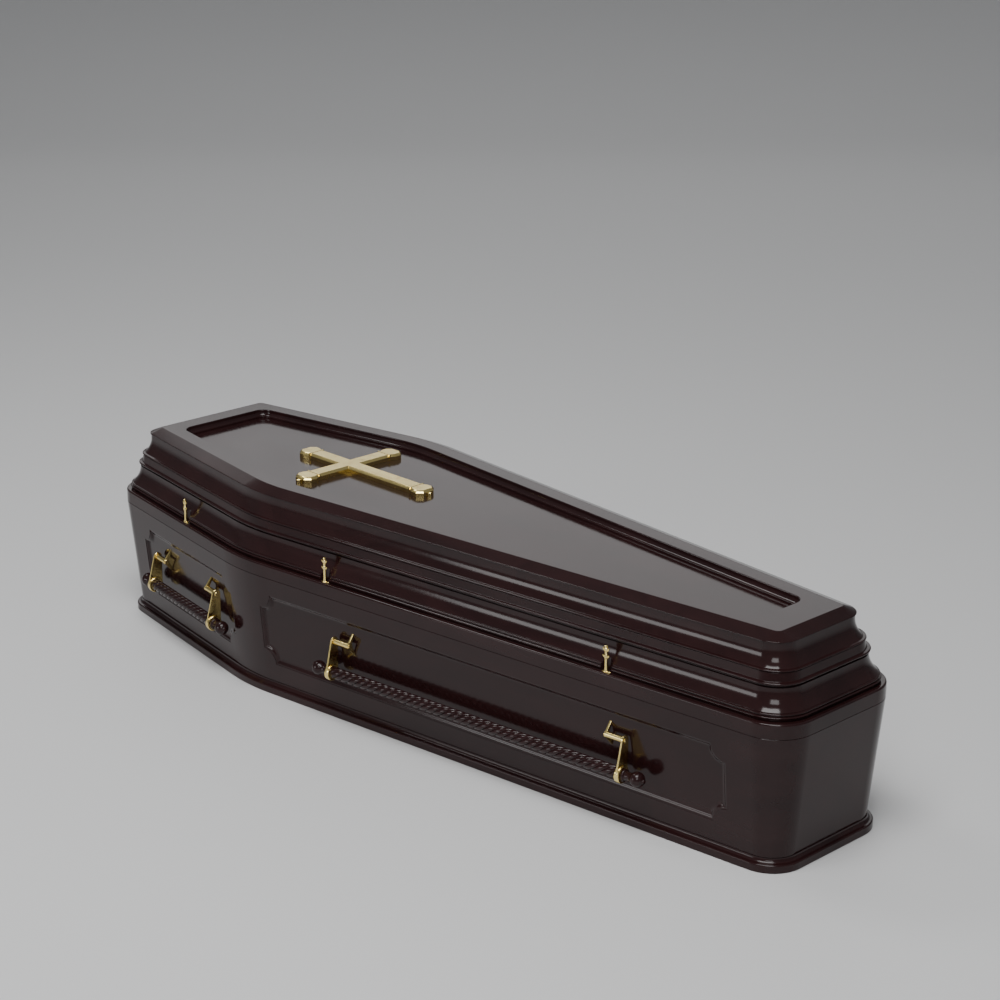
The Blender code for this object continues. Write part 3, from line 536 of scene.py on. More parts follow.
def new_group(name, inputs, outputs):
    """An empty shader group with float inputs and outputs; returns its tree and end nodes."""
    tree = bpy.data.node_groups.new(name, "ShaderNodeTree")
    for label, default in inputs.items():
        socket = tree.interface.new_socket(name=label, in_out="INPUT", socket_type="NodeSocketFloat")
        socket.default_value = default
    for label in outputs:
        tree.interface.new_socket(name=label, in_out="OUTPUT", socket_type="NodeSocketFloat")
    return tree, put(tree, "NodeGroupInput"), put(tree, "NodeGroupOutput")


def object_place(tree):
    """Place on the object, in metres."""
    return put(tree, "ShaderNodeTexCoord").outputs["Object"]


def fine_wear_group():
    """Faint smears and hairlines, shared by the lacquer and the brass."""
    name = "fine_wear"
    if name in bpy.data.node_groups:
        return bpy.data.node_groups[name]
    tree, entry, out = new_group(name, {"Smear Scale": 3.0, "Hairline Scale": 60.0}, ("Smears", "Hairlines"))
    place = object_place(tree)
    smears = put(tree, "ShaderNodeTexNoise",
                 {"Vector": place, "Scale": entry.outputs["Smear Scale"], "Detail": 5.0, "Roughness": 0.55})
    squash = put(tree, "ShaderNodeMapping", {"Vector": place, "Scale": (0.12, 1.0, 1.0)})
    hairlines = put(tree, "ShaderNodeTexNoise",
                    {"Vector": squash.outputs[0], "Scale": entry.outputs["Hairline Scale"], "Detail": 3.0})
    tree.links.new(smears.outputs["Fac"], out.inputs["Smears"])
    tree.links.new(hairlines.outputs["Fac"], out.inputs["Hairlines"])
    return tree


def wood_grain_group():
    """Long grain that runs from head to foot."""
    name = "wood_grain"
    if name in bpy.data.node_groups:
        return bpy.data.node_groups[name]
    tree, entry, out = new_group(name, {"Streaks": 22.0, "Pores": 260.0}, ("Grain", "Pores"))
    place = object_place(tree)
    bend = put(tree, "ShaderNodeTexNoise", {"Vector": place, "Scale": 2.2, "Detail": 2.0})
    bent = put(tree, "ShaderNodeVectorMath", {0: place, 1: bend.outputs["Color"]}, operation="MULTIPLY_ADD")
    sway = put(tree, "ShaderNodeVectorMath", {0: bend.outputs["Color"]}, operation="MULTIPLY")
    sway.inputs[1].default_value = (GRAIN_SWAY, GRAIN_SWAY, GRAIN_SWAY)
    tree.links.new(sway.outputs[0], bent.inputs[2])
    long = put(tree, "ShaderNodeMapping", {"Vector": bent.outputs[0], "Scale": (0.05, 1.0, 1.0)})
    streaks = put(tree, "ShaderNodeTexNoise", {"Vector": long.outputs[0], "Detail": 6.0, "Roughness": 0.62})
    tree.links.new(entry.outputs["Streaks"], streaks.inputs["Scale"])
    pores = put(tree, "ShaderNodeTexNoise", {"Vector": long.outputs[0], "Detail": 2.0})
    tree.links.new(entry.outputs["Pores"], pores.inputs["Scale"])
    grain = put(tree, "ShaderNodeMapRange",
                {"Value": streaks.outputs["Fac"], "From Min": 0.35, "From Max": 0.68})
    tree.links.new(grain.outputs[0], out.inputs["Grain"])
    tree.links.new(pores.outputs["Fac"], out.inputs["Pores"])
    return tree


def use_group(tree, group, inputs=None):
    made = put(tree, "ShaderNodeGroup", node_tree=group)
    for name, value in (inputs or {}).items():
        made.inputs[name].default_value = value
    return made.outputs


def start_material(name, **values):
    """A material whose Principled shader has the given plain values."""
    made = bpy.data.materials.new(name)
    made.use_nodes = True
    tree = made.node_tree
    shader = tree.nodes["Principled BSDF"]
    for label, value in values.items():
        shader.inputs[label.replace("_", " ").title().replace("Ior", "IOR")].default_value = value
    return made, tree, shader


def mix_colours(tree, mask, first, second):
    mix = put(tree, "ShaderNodeMix", data_type="RGBA")
    tree.links.new(mask, mix.inputs[0])
    mix.inputs[6].default_value = (*first, 1.0)
    mix.inputs[7].default_value = (*second, 1.0)
    return mix.outputs[2]


def spread(tree, value, low, high, low_in=0.3, high_in=0.7):
    """Maps a mask onto a range of values."""
    inputs = {"Value": value, "From Min": low_in, "From Max": high_in, "To Min": low, "To Max": high}
    return put(tree, "ShaderNodeMapRange", inputs).outputs[0]


def relief(tree, shader, height, strength, distance):
    """Shades the surface as if it had a height."""
    bump = put(tree, "ShaderNodeBump", {"Height": height, "Strength": strength, "Distance": distance})
    tree.links.new(bump.outputs[0], shader.inputs["Normal"])


def lacquered_wood():
    f = finish()
    made, tree, shader = start_material("dark_wood", ior=1.38)
    grain = use_group(tree, wood_grain_group())
    wear = use_group(tree, fine_wear_group(), {"Smear Scale": 3.0, "Hairline Scale": 400.0})
    base = mix_colours(tree, grain["Grain"], f.wood_dark, f.wood_light)
    tree.links.new(base, shader.inputs["Base Color"])
    tree.links.new(spread(tree, wear["Smears"], 0.10, 0.16), shader.inputs["Roughness"])
    place = object_place(tree)
    peel = put(tree, "ShaderNodeTexNoise", {"Vector": place, "Scale": 140.0, "Detail": 1.0})
    height = math_node(tree, "MULTIPLY_ADD", grain["Pores"], 0.15)
    tree.links.new(peel.outputs["Fac"], height.node.inputs[2])
    relief(tree, shader, height, strength=0.015, distance=0.002)
    return made


def polished_brass():
    f = finish()
    made, tree, shader = start_material("brass", metallic=1.0)
    wear = use_group(tree, fine_wear_group(), {"Smear Scale": 45.0, "Hairline Scale": 900.0})
    base = mix_colours(tree, spread(tree, wear["Smears"], 0.0, 1.0, 0.55, 0.8), f.brass, f.brass_shade)
    tree.links.new(base, shader.inputs["Base Color"])
    tree.links.new(spread(tree, wear["Smears"], 0.14, 0.28), shader.inputs["Roughness"])
    relief(tree, shader, wear["Hairlines"], strength=0.08, distance=0.0004)
    return made


def weave_height(tree, pitch):
    """Plain weave on whichever way a face looks, from the product of two sines."""
    place = object_place(tree)
    turns = 2 * math.pi / pitch
    scaled = put(tree, "ShaderNodeVectorMath", {0: place, 1: (turns, turns, turns)}, operation="MULTIPLY")
    axes = put(tree, "ShaderNodeSeparateXYZ", {0: scaled.outputs[0]})
    sines = [math_node(tree, "SINE", axes.outputs[k]) for k in range(3)]
    facing = put(tree, "ShaderNodeVectorMath", {0: put(tree, "ShaderNodeNewGeometry").outputs["True Normal"]},
                 operation="ABSOLUTE")
    weights = put(tree, "ShaderNodeSeparateXYZ", {0: facing.outputs[0]})
    total = None
    for k in range(3):
        threads = math_node(tree, "MULTIPLY", sines[(k + 1) % 3], sines[(k + 2) % 3])
        term = math_node(tree, "MULTIPLY", threads, weights.outputs[k])
        total = term if total is None else math_node(tree, "ADD", total, term)
    return total


def lining_cloth():
    f = finish()
    made, tree, shader = start_material("lining_cloth", sheen_weight=0.35, sheen_roughness=0.4, roughness=0.8)
    weave = weave_height(tree, pitch=0.0022)
    place = object_place(tree)
    slub = put(tree, "ShaderNodeTexNoise", {"Vector": place, "Scale": 330.0, "Detail": 3.0, "Roughness": 0.7})
    mottle = spread(tree, slub.outputs["Fac"], -0.45, 0.45)
    # Painted shade: the lower the weave between the threads, the nearer the colour comes to the darker lining
    # colour; the slub mottle on top is random tone of the cloth itself.
    threads = math_node(tree, "ADD", spread(tree, weave, 0.0, 1.0, -0.8, 0.5), mottle)
    base = mix_colours(tree, threads, f.cloth_weave_shade, f.cloth)
    tree.links.new(base, shader.inputs["Base Color"])
    relief(tree, shader, weave, strength=0.35, distance=0.0006)
    return made


MATERIAL_MAKERS = {"dark_wood": lacquered_wood, "brass": polished_brass, "lining_cloth": lining_cloth}
MADE_MATERIALS = {}


def material(slot):
    if slot not in MADE_MATERIALS:
        MADE_MATERIALS[slot] = MATERIAL_MAKERS[slot]()
    return MADE_MATERIALS[slot]


# Base board and walls

def base_profile():
    """Edge of the base board from its underside up to the wall's foot, as (offset, height)."""
    b = box_sizes()
    foot = -b.wall_lean
    edge = foot + b.base_overhang
    nosing_top = b.base_face + b.base_nosing
    shelf = edge - b.base_shelf
    pairs = [(edge - 0.0012, 0.0), (edge, 0.0012)]
    pairs += arc((edge - b.base_nosing, b.base_face), b.base_nosing, 0, 90, 6)
    pairs.append((shelf + 0.0012, nosing_top))
    rise = b.base_thickness - nosing_top
    run = shelf - foot
    for k in range(9):
        angle = math.radians(90 * k / 8)
        pairs.append((foot + run * (1 - math.sin(angle)), b.base_thickness - rise * math.cos(angle)))
    return pairs


def build_base_board():
    loops = [level(outline(offset), z) for offset, z in base_profile()]
    board = loft("base_board_finish", loops, sharp_angle=35)
    finish_board(board, "base_board")


def wall_profile():
    b = box_sizes()
    foot = b.base_thickness + GAP
    foot_offset = wall_offset(foot)
    pairs = [
        (foot_offset, foot),
        (0.0, ledge_z()),
        (-b.ledge_width, ledge_z()),
        (-b.ledge_width, ledge_z() + b.lip_height),
        (-b.wall_thickness, ledge_z() + b.lip_height),
        (-b.wall_thickness + foot_offset, foot),
    ]
    return ease(pairs, b.edge_round)


def scooped_rectangle(width, height, notch, z):
    """Rectangle whose corners are scooped by quarter circles, anticlockwise."""
    count = box_sizes().notch_steps
    points = []
    for i, (sx, sy) in enumerate(((1, 1), (-1, 1), (-1, -1), (1, -1))):
        start = math.radians(-90 + 90 * i)
        for k in range(count + 1):
            angle = start - math.radians(90) * k / count
            points.append(Vector((sx * width / 2 + notch * math.cos(angle),
                                  sy * height / 2 + notch * math.sin(angle), z)))
    return points


def panel_cutter(part, hand):
    """Routed recess: a moulded border that steps down to a flat field."""
    b = box_sizes()
    side_length = side_frame(part, hand)[3]
    near = b.panel_from_shoulder
    far = side_length - (b.panel_from_foot if part == "side" else b.panel_from_head)
    bottom = b.base_thickness + b.panel_from_base
    top = ledge_z() - b.panel_from_ledge
    slope = math.hypot(1, b.wall_lean / b.wall_height)
    width, height = far - near, (top - bottom) * slope
    border = [(1.0, 1.0), (0.78, 0.96), (0.55, 0.78), (0.42, 0.55), (0.28, 0.32), (0.12, 0.20), (0.0, 0.16),
              (0.0, -1.0)]
    loops = []
    for inward, down in border:
        inset = 2 * b.panel_border * inward
        notch = b.notch_radius + (b.notch_inner - b.notch_radius) * inward
        loops.append(scooped_rectangle(width - inset, height - inset, notch, -b.panel_depth * down))
    matrix = wall_matrix(part, hand, (near + far) / 2, (bottom + top) / 2)
    return loft(f"panel_cutter_{part}_{hand}", loops, matrix)


def build_walls():
    loops = [level(outline(offset), z) for offset, z in wall_profile()]
    walls = loft("coffin_walls_finish", loops, closed_ring=True)
    combine(walls, [panel_cutter(part, hand) for part, hand in SIDES], "DIFFERENCE", sharp_angle=35)
    finish_board(walls, "coffin_walls")


# Lid

def lid_loops(pairs, corner_keep=None):
    keep = lid_sizes().corner_keep if corner_keep is None else corner_keep
    return [level(outline(-setback, corner_keep=keep), lid_z() + height) for setback, height in pairs]


def build_brim():
    s, b = lid_sizes(), box_sizes()
    leg = b.ledge_width - s.lip_clearance
    rebate = b.lip_height + s.lip_clearance
    pairs = [(0.0, 0.0)]
    pairs += arc((s.brim_round, s.brim_height - s.brim_round), s.brim_round, 180, 90, 7)
    pairs += [(s.brim_width, s.brim_height), (s.brim_width, rebate), (leg, rebate), (leg, 0.0)]
    brim = loft("lid_brim_finish", lid_loops(ease(pairs, 0.001, sharper_than=40), 1.0), closed_ring=True)
    combine(brim, screw_drills(0.0031, lid_z() - 0.01, lid_z() + s.brim_height + 0.01), "DIFFERENCE")
    finish_board(brim, "lid_brim")


def build_lower_moulding():
    s = lid_sizes()
    foot = s.brim_height + GAP
    pairs = [(0.0125, foot), (0.0125, 0.0345)]
    pairs += bead(0.0125, 0.0090, 0.0348, 0.0392)
    pairs += [(0.0132, 0.0396), (0.0132, 0.0402)]
    pairs += bead(0.0132, 0.0112, 0.0404, 0.0446)
    pairs += [(0.0150, 0.0452)]
    pairs += cove(0.0458, 0.0146, 0.0865, 0.0320)
    pairs += [(0.0360, 0.0865), (0.0360, s.lower_top), (s.lower_inside, s.lower_top), (s.lower_inside, foot)]
    loops = lid_loops(ease(pairs, 0.0009, sharper_than=40))
    moulding = loft("lid_lower_moulding_finish", loops, closed_ring=True)
    niches = screw_drills(s.niche_radius, lid_z() + s.brim_height - 0.002, lid_z() + s.lower_top - 0.0003, 40)
    combine(moulding, niches, "DIFFERENCE")
    finish_board(moulding, "lid_lower_moulding")


def build_upper_moulding():
    s = lid_sizes()
    foot = s.lower_top + GAP
    pairs = [(0.0312, foot)]
    pairs += bead(0.0312, 0.0290, foot + 0.0002, 0.0958)
    pairs += [(0.0360, 0.0964), (0.0388, 0.1128), (0.0400, 0.1134)]
    pairs += bead(0.0400, 0.0372, 0.1138, 0.1176)
    pairs += cove(0.1182, 0.0436, 0.1545, 0.0575)
    pairs += [(0.0575, s.upper_top), (s.upper_inside, s.upper_top), (s.upper_inside, foot)]
    loops = lid_loops(ease(pairs, 0.0008, sharper_than=40))
    moulding = loft("lid_upper_moulding_finish", loops, closed_ring=True)
    finish_board(moulding, "lid_upper_moulding")


def sunken_step(width, depth):
    """Moulded step round the sunken panel as (inward, down): fillet, hollow, fillet."""
    pairs = [(0.0, 0.0), (0.0, 0.0012), (0.0010, 0.0016), (0.0010, 0.0042)]
    for k in range(1, 8):
        angle = math.radians(90 * k / 8)
        pairs.append((0.0010 + (width - 0.0030) * (1 - math.cos(angle)),
                      0.0042 + (depth - 0.0080) * math.sin(angle)))
    pairs += [(width - 0.0018, depth - 0.0034), (width, depth - 0.0034), (width, depth)]
    return pairs


def build_lid_top():
    s = lid_sizes()
    seat = s.upper_top + GAP
    plug = s.upper_inside + s.plug_clearance
    under = s.height - s.sunken_depth - s.board
    outer = [(plug, under), (plug, seat), (s.edge_setback, seat), (s.edge_setback, seat + s.edge_height)]
    outer = ease(outer + [(s.chamfer_setback, s.height), (s.sunken_sides - 0.01, s.height)], 0.0010,
                 closed=False, sharper_than=12)[:-1]
    loops = []
    for setback, height in outer:
        keep = s.corner_keep if setback < s.chamfer_setback * 0.75 else 1.0
        loops.append(level(outline(-setback, corner_keep=keep), lid_z() + height))
    for inward, down in ease(sunken_step(s.sunken_step, s.sunken_depth), 0.0005, closed=False):
        radius = s.sunken_radius - inward
        plan_points = outline(-s.sunken_sides - inward, -s.sunken_head - inward, -s.sunken_foot - inward,
                              radii=(radius, plan().shoulder_radius, radius))
        loops.append(level(plan_points, lid_z() + s.height - down))
    top = loft("lid_top_finish", loops, sharp_angle=50)
    finish_board(top, "lid_top")


# Cross

def cross_arms():
    """Reach and direction of each arm; +X is the foot."""
    f = fittings()
    return (f.cross_foot_arm, 0), (f.cross_side_arm, 90), (f.cross_head_arm, 180), (f.cross_side_arm, 270)


def cross_outline():
    """Latin cross with flared, blunt ends, anticlockwise."""
    f = fittings()
    half, wide, blunt = f.cross_width / 2, f.cross_end_width / 2, f.cross_blunt_width / 2
    points = []
    for reach, degrees in cross_arms():
        end = reach - f.cross_tip
        neck = end - f.cross_end_length
        below = [(half, -half), (neck, -half), (neck + f.cross_flare, -wide), (end - f.cross_flare, -wide),
                 (end, -blunt)]
        arm = below + [(x, -y) for x, y in reversed(below[1:])]
        turn = Matrix.Rotation(math.radians(degrees), 2)
        points += [turn @ Vector(p) for p in arm]
    return points


def inset(points, distance):
    """Moves a closed anticlockwise outline inwards, edge by edge."""
    moved = []
    count = len(points)
    for k in range(count):
        before, here, after = points[k - 1], points[k], points[(k + 1) % count]
        n1 = Vector((before.y - here.y, here.x - before.x)).normalized()
        n2 = Vector((here.y - after.y, after.x - here.x)).normalized()
        moved.append(here + (n1 + n2) * distance / max(0.6, 1 + n1.dot(n2)))
    return moved


def cross_detail(points, height, degrees, place):
    """Small raised solid with an eased top, on one arm of the cross."""
    turn = Matrix.Rotation(math.radians(degrees), 2)
    shape = [turn @ Vector(p) for p in points]
    loops = [level(shape, 0.0), level(shape, height - 0.0008), level(inset(shape, 0.0007), height)]
    return loft("cross_detail", loops, place)


def build_cross():
    """Bevelled cross with a ridge at the root of each flared end and a small pointed tip."""
    f, s = fittings(), lid_sizes()
    shape = cross_outline()
    thick, bevel = f.cross_thickness, f.cross_bevel
    loops = [level(shape, 0.0), level(shape, thick - bevel - 0.0006)]
    loops.append(level(inset(shape, 0.0005), thick - bevel))
    loops.append(level(inset(shape, bevel - 0.0006), thick - 0.0006))
    loops.append(level(inset(shape, bevel + 0.0004), thick))
    floor = lid_z() + s.height - s.sunken_depth + GAP
    place = Matrix.Translation((-plan().length / 2 + f.cross_from_head, 0, floor))
    cross = loft("cross_casting", loops, place)
    details = []
    half, tip = f.cross_width / 2, f.cross_tip_width / 2
    ridge_half, past = 0.0018, half + 0.0008
    for reach, degrees in cross_arms():
        end = reach - f.cross_tip
        neck = end - f.cross_end_length
        ridge = [(neck - ridge_half, -past), (neck + ridge_half, -past),
                 (neck + ridge_half, past), (neck - ridge_half, past)]
        details.append(cross_detail(ridge, thick + 0.0006, degrees, place))
        point = [(end - 0.002, -tip), (end + 0.0032, -tip * 0.8), (reach, 0.0), (end + 0.0032, tip * 0.8),
                 (end - 0.002, tip)]
        details.append(cross_detail(point, thick * 0.6, degrees, place))
    combine(cross, details, "UNION", sharp_angle=28)
    finish_piece(cross, "brass", BODY, "cross")


# Thumb screws

def screw_places():
    """Name, plan position and outward normal of each screw, read from its CAD node."""
    places = []
    for hand, word in HANDS.items():
        for number in (1, 2, 3):
            node = f"lid_screw_{word}_{number}"
            low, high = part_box(node)
            place = Vector(((low[0] + high[0]) / 2, (low[1] + high[1]) / 2))
            part = "shoulder" if place.x < plan_corners()[1].x else "side"
            places.append((node, place, side_frame(part, hand)[2]))
    return places


def circle(radius, sides, z=0.0):
    turn = 2 * math.pi / sides
    return [Vector((radius * math.cos(turn * k), radius * math.sin(turn * k), z)) for k in range(sides)]


def screw_drills(radius, bottom, top, sides=24):
    drills = []
    for node, place, _ in screw_places():
        matrix = Matrix.Translation((place.x, place.y, 0))
        drills.append(turned(f"{node}_drill", [(radius, bottom), (radius, top)], sides, matrix))
    return drills


def turned(name, pairs, sides, matrix):
    """Turned solid from (radius, height) pairs."""
    return loft(name, [circle(radius, sides, z) for radius, z in pairs], matrix)


def screw_silhouette():
    """Half of the cast head's outline, as (half-width, height) pairs."""
    f = fittings()
    stem = 0.0026
    pairs = [(0.0042, 0.0010), (0.0034, 0.0050), (stem + 0.0003, 0.0090), (stem, 0.0200)]
    for height in (0.0320, 0.0460):
        pairs += [(stem, height - 0.0042), (0.0050, height - 0.0030), (0.0080, height + 0.0016),
                  (0.0077, height + 0.0030), (0.0050, height + 0.0016), (stem, height + 0.0030)]
    pairs += [(0.0021, 0.0500), (0.0036, 0.0518), (0.0030, 0.0534), (0.0014, 0.0540)]
    pairs.append((0.0005, f.screw_height))
    return pairs


def screw_core():
    """Turned stem with a knob behind each bar, as (radius, height) pairs."""
    pairs = [(0.0040, 0.0008), (0.0036, 0.0050), (0.0030, 0.0090), (0.0030, 0.0270), (0.0040, 0.0285),
             (0.0044, 0.0320), (0.0040, 0.0352), (0.0030, 0.0366), (0.0030, 0.0418), (0.0040, 0.0430),
             (0.0044, 0.0460), (0.0040, 0.0486), (0.0026, 0.0498), (0.0026, 0.0508), (0.0036, 0.0520),
             (0.0034, 0.0534), (0.0016, 0.0545)]
    return pairs + [(0.0006, fittings().screw_height - 0.0001)]


def build_screw(node, place, normal):
    """Leaf-shaped seat on the brim, shank below it and a cast double-barred head."""
    f, s = fittings(), lid_sizes()
    seat = lid_z() + s.brim_height + GAP
    turn = Matrix.Rotation(math.atan2(normal.y, normal.x) + math.pi / 2, 4, "Z")
    matrix = Matrix.Translation((place.x, place.y, seat)) @ turn
    half = screw_silhouette()
    outline_points = half + [(-x, z) for x, z in reversed(half)]
    loops = []
    for y, shrink in ((0.0017, 0.0005), (0.0013, 0.0), (-0.0013, 0.0), (-0.0017, 0.0005)):
        flat = inset([Vector(p) for p in outline_points], shrink)
        loops.append([Vector((p.x, y, p.y)) for p in flat])
    head = loft(f"{node}_casting", loops, matrix)
    foot = ledge_z() - f.screw_in_wall - seat
    shank = turned("shank", [(0.0022, foot), (0.0028, foot + 0.002), (0.0028, 0.0008)], 16, matrix)
    core = turned("core", screw_core(), 20, matrix)
    leaf = []
    for z, size in ((0.0, 1.0), (0.0008, 1.0), (0.0016, 0.92), (0.0023, 0.60), (0.0026, 0.42)):
        points = []
        for p in circle(1.0, 32):
            across = math.copysign(1 - p.x ** 2, p.y) * f.leaf_width / 2
            points.append(Vector((p.x * f.leaf_length / 2 * size, across * size, z)))
        leaf.append(points)
    combine(head, [shank, core, loft("leaf", leaf, matrix)], "UNION")
    finish_piece(head, "brass", BODY, node)


# Handles

def handle_matrix(part, hand, lean=0.0):
    """Frame on a hinge axis: X along it, Y up, Z out from the wall; a lean swings it outwards."""
    f = fittings()
    start, along, normal, _ = side_frame(part, hand)
    place = start + along * (f.handle_side if part == "side" else f.handle_shoulder) + normal * f.axis_out
    up, out = Vector((0, 0, 1)), Vector((normal.x, normal.y, 0))
    upright = axes_matrix(up.cross(out), up, out, (place.x, place.y, f.axis_height))
    return upright @ Matrix.Rotation(-lean, 4, "X")


def cast_plate(name, outline_points, x, thickness, matrix, rounding=0.0007):
    """Plate in the handle's YZ plane with eased edges; the outline is (out, up) pairs."""
    points = [Vector((out, up)) for out, up in outline_points]
    half = thickness / 2
    inner = half - rounding
    loops = []
    for offset, shrink in ((-half, rounding), (-inner, 0.0), (inner, 0.0), (half, rounding)):
        loops.append([Vector((x + offset, p.y, p.x)) for p in inset(points, shrink)])
    return loft(name, loops, matrix)


def turned_along(name, pairs, drop, matrix, sides=32):
    """Turned solid along the hinge direction from (x, radius) pairs, drop below the axis."""
    loops = []
    for x, radius in pairs:
        loops.append([Vector((x, p.x - drop, p.y)) for p in circle(radius, sides)])
    return loft(name, loops, matrix)


def lug_outline():
    """Angled bracket with two feet on the wall and a round nose about the pin."""
    f, b = fittings(), box_sizes()
    sunk = b.panel_depth * math.hypot(1, b.wall_lean / b.wall_height)

    def foot(rise):
        return wall_offset(f.axis_height + rise) - sunk + GAP - f.axis_out

    top, bottom = f.lug_rise, -f.lug_fall
    inner_top, inner_bottom = top - f.lug_foot, bottom + f.lug_foot
    nose = arc((0.0, 0.0), 0.0066, 62, -62, 10)
    hollow = arc((0.0, 0.0), f.pin_radius + 0.0012, 205, 155, 6)
    return [(foot(top), top), *nose, (foot(bottom), bottom), (foot(inner_bottom), inner_bottom), *hollow,
            (foot(inner_top), inner_top)]


def build_lug(node, x, matrix):
    """Lug with its spacer and the pin that the arm turns on, capped outside the arm."""
    f = fittings()
    side = math.copysign(1, x)
    lug = cast_plate(f"{node}_casting", list(reversed(lug_outline())), x, f.lug_thickness, matrix)
    near, far = abs(x), abs(x) + f.arm_beyond
    pin, spacer = f.pin_radius, f.pin_radius + 0.0012
    arm_face = far - f.arm_thickness / 2 - GAP
    pairs = [(near - 0.0040, pin - 0.0008), (near - 0.0032, pin), (near + 0.0010, pin),
             (near + 0.0012, spacer), (arm_face - 0.0006, spacer), (arm_face, spacer - 0.0006),
             (arm_face, pin), (far + 0.0030, pin), (far + 0.0040, pin - 0.0012)]
    ends = [(side * u, r) for u, r in pairs]
    if side < 0:
        ends.reverse()
    combine(lug, [turned_along("pin", ends, 0.0, matrix, 24)], "UNION")
    finish_piece(lug, "brass", BODY, node)


def arm_outline():
    """Teardrop: a round head at the pin that widens down to the collar."""
    f = fittings()
    slant = math.asin((f.collar_radius - f.arm_head) / f.drop)
    side, rise = f.collar_radius * math.cos(slant), f.collar_radius * math.sin(slant)
    head = arc((0.0, 0.0), f.arm_head, math.degrees(slant), 180 - math.degrees(slant), 16)
    return [(-side, rise - f.drop), (side, rise - f.drop), *head]


def build_arm(node, x, matrix, body):
    f = fittings()
    arm = cast_plate(f"{node}_casting", arm_outline(), x, f.arm_thickness, matrix)
    half, radius = f.collar_length / 2, f.collar_radius
    collar = [(x - half, radius - 0.0012), (x - half + 0.0008, radius - 0.0004), (x - 0.002, radius),
              (x + 0.002, radius), (x + half - 0.0008, radius - 0.0004), (x + half, radius - 0.0012)]
    combine(arm, [turned_along("collar", collar, f.drop, matrix)], "UNION")
    eye = f.pin_radius + 0.0005
    bore = f.bar_neck + GAP
    ends = (x - 0.02, x + 0.02)
    holes = [turned_along("eye", [(end, eye) for end in ends], 0.0, matrix, 24),
             turned_along("bore", [(end, bore) for end in ends], f.drop, matrix)]
    combine(arm, holes, "DIFFERENCE")
    finish_piece(arm, "brass", body, node)


def strand_radius(angle, depth):
    """Radius of the rope twist at an angle about the bar; depth fades the grooves out."""
    f = fittings()
    turn = 2 * math.pi / f.strands
    across = abs(((angle / turn) % 1.0) - 0.5) * 2
    bulge = math.sqrt(max(0.0, 1 - across ** 2)) ** 0.9
    groove = f.bar_radius - (f.bar_radius - f.bar_groove) * depth
    return groove + (f.bar_radius - groove) * bulge


def bar_rings(arm_x):
    """Half-length of the twist, and (x, radius) pairs from there out to the ball's button."""
    f = fittings()
    inner = arm_x - f.collar_length / 2 - GAP
    outer = arm_x + f.collar_length / 2 + GAP
    ball = arm_x + f.ball_beyond
    rings = [(inner, f.bar_neck), (outer, f.bar_neck), (outer, 0.0118), (outer + 0.0012, 0.0128),
             (outer + 0.0040, 0.0130), (outer + 0.0055, 0.0118), (outer + 0.0062, 0.0100),
             (ball - f.ball_radius - 0.0018, 0.0086)]
    for k in range(1, 16):
        angle = math.radians(180 * k / 16)
        x = ball - f.ball_radius * math.cos(angle)
        radius = f.ball_radius * math.sin(angle)
        if (k < 8 and radius < 0.0088) or (k > 8 and radius < 0.0050):
            continue
        rings.append((x, radius))
    end = ball + f.ball_radius
    rings += [(end - 0.0002, 0.0046), (end + 0.0012, 0.0044), (end + 0.0022, 0.0026)]
    return inner, rings


def bar_ring(x, inner, radius=None):
    """Ring of the bar at x: part of the rope twist, or a circle if it has a radius."""
    f = fittings()
    around = 8 * f.strands
    fade = 0.004
    depth = min(1.0, (inner - abs(x)) / fade)
    shift = -2 * math.pi * max(-inner, min(inner, x)) / f.bar_lead
    points = []
    for k in range(around):
        angle = 2 * math.pi * k / around
        reach = radius or strand_radius(angle, depth) * (0.90 + 0.10 * depth)
        points.append(Vector((x, reach * math.cos(angle + shift) - f.drop, reach * math.sin(angle + shift))))
    return points


def build_bar(node, arm_x, matrix, body):
    """Rope-twist grip with a neck in each collar and a turned ball at each end."""
    inner, ends = bar_rings(arm_x)
    steps_in_turn = 36
    count = round(2 * inner / fittings().bar_lead * steps_in_turn)
    loops = [bar_ring(-x, inner, radius) for x, radius in reversed(ends)]
    loops += [bar_ring(inner * (2 * k / count - 1), inner) for k in range(count + 1)]
    loops += [bar_ring(x, inner, radius) for x, radius in ends]
    bar = loft(f"{node}_turning", loops, matrix, sharp_angle=50)
    finish_piece(bar, "dark_wood", body, node)


def build_handle(part, hand):
    f = fittings()
    label = f"{part}_{HANDS[hand]}"
    body = f"handle_{label}"
    fixed, hanging = handle_matrix(part, hand), handle_matrix(part, hand, f.rest_lean)
    lug_x = f.lug_half_side if part == "side" else f.lug_half_shoulder
    arm_x = lug_x + f.arm_beyond
    for number, side in enumerate((-1, 1), start=1):
        build_lug(f"handle_lug_{label}_{number}", side * lug_x, fixed)
        build_arm(f"handle_arm_{label}_{number}", side * arm_x, hanging, body)
    build_bar(f"handle_bar_{label}", arm_x, hanging, body)


# Lining

def pad_station_loops():
    """Loops of the lining's section, a little smaller than the room it swells into."""
    b, n = box_sizes(), lining_sizes()
    foot = b.base_thickness + GAP + 0.001
    top = ledge_z() + b.lip_height - n.top_drop - 0.001
    back = -b.wall_thickness - GAP
    face = -b.wall_thickness - n.thickness + n.swell_room
    pairs = [(back + wall_offset(foot), foot), (back, top), (face + 0.009, top), (face + 0.003, top - 0.004),
             (face, top - 0.012), (face, foot)]
    return [level(outline(offset), z) for offset, z in pairs]


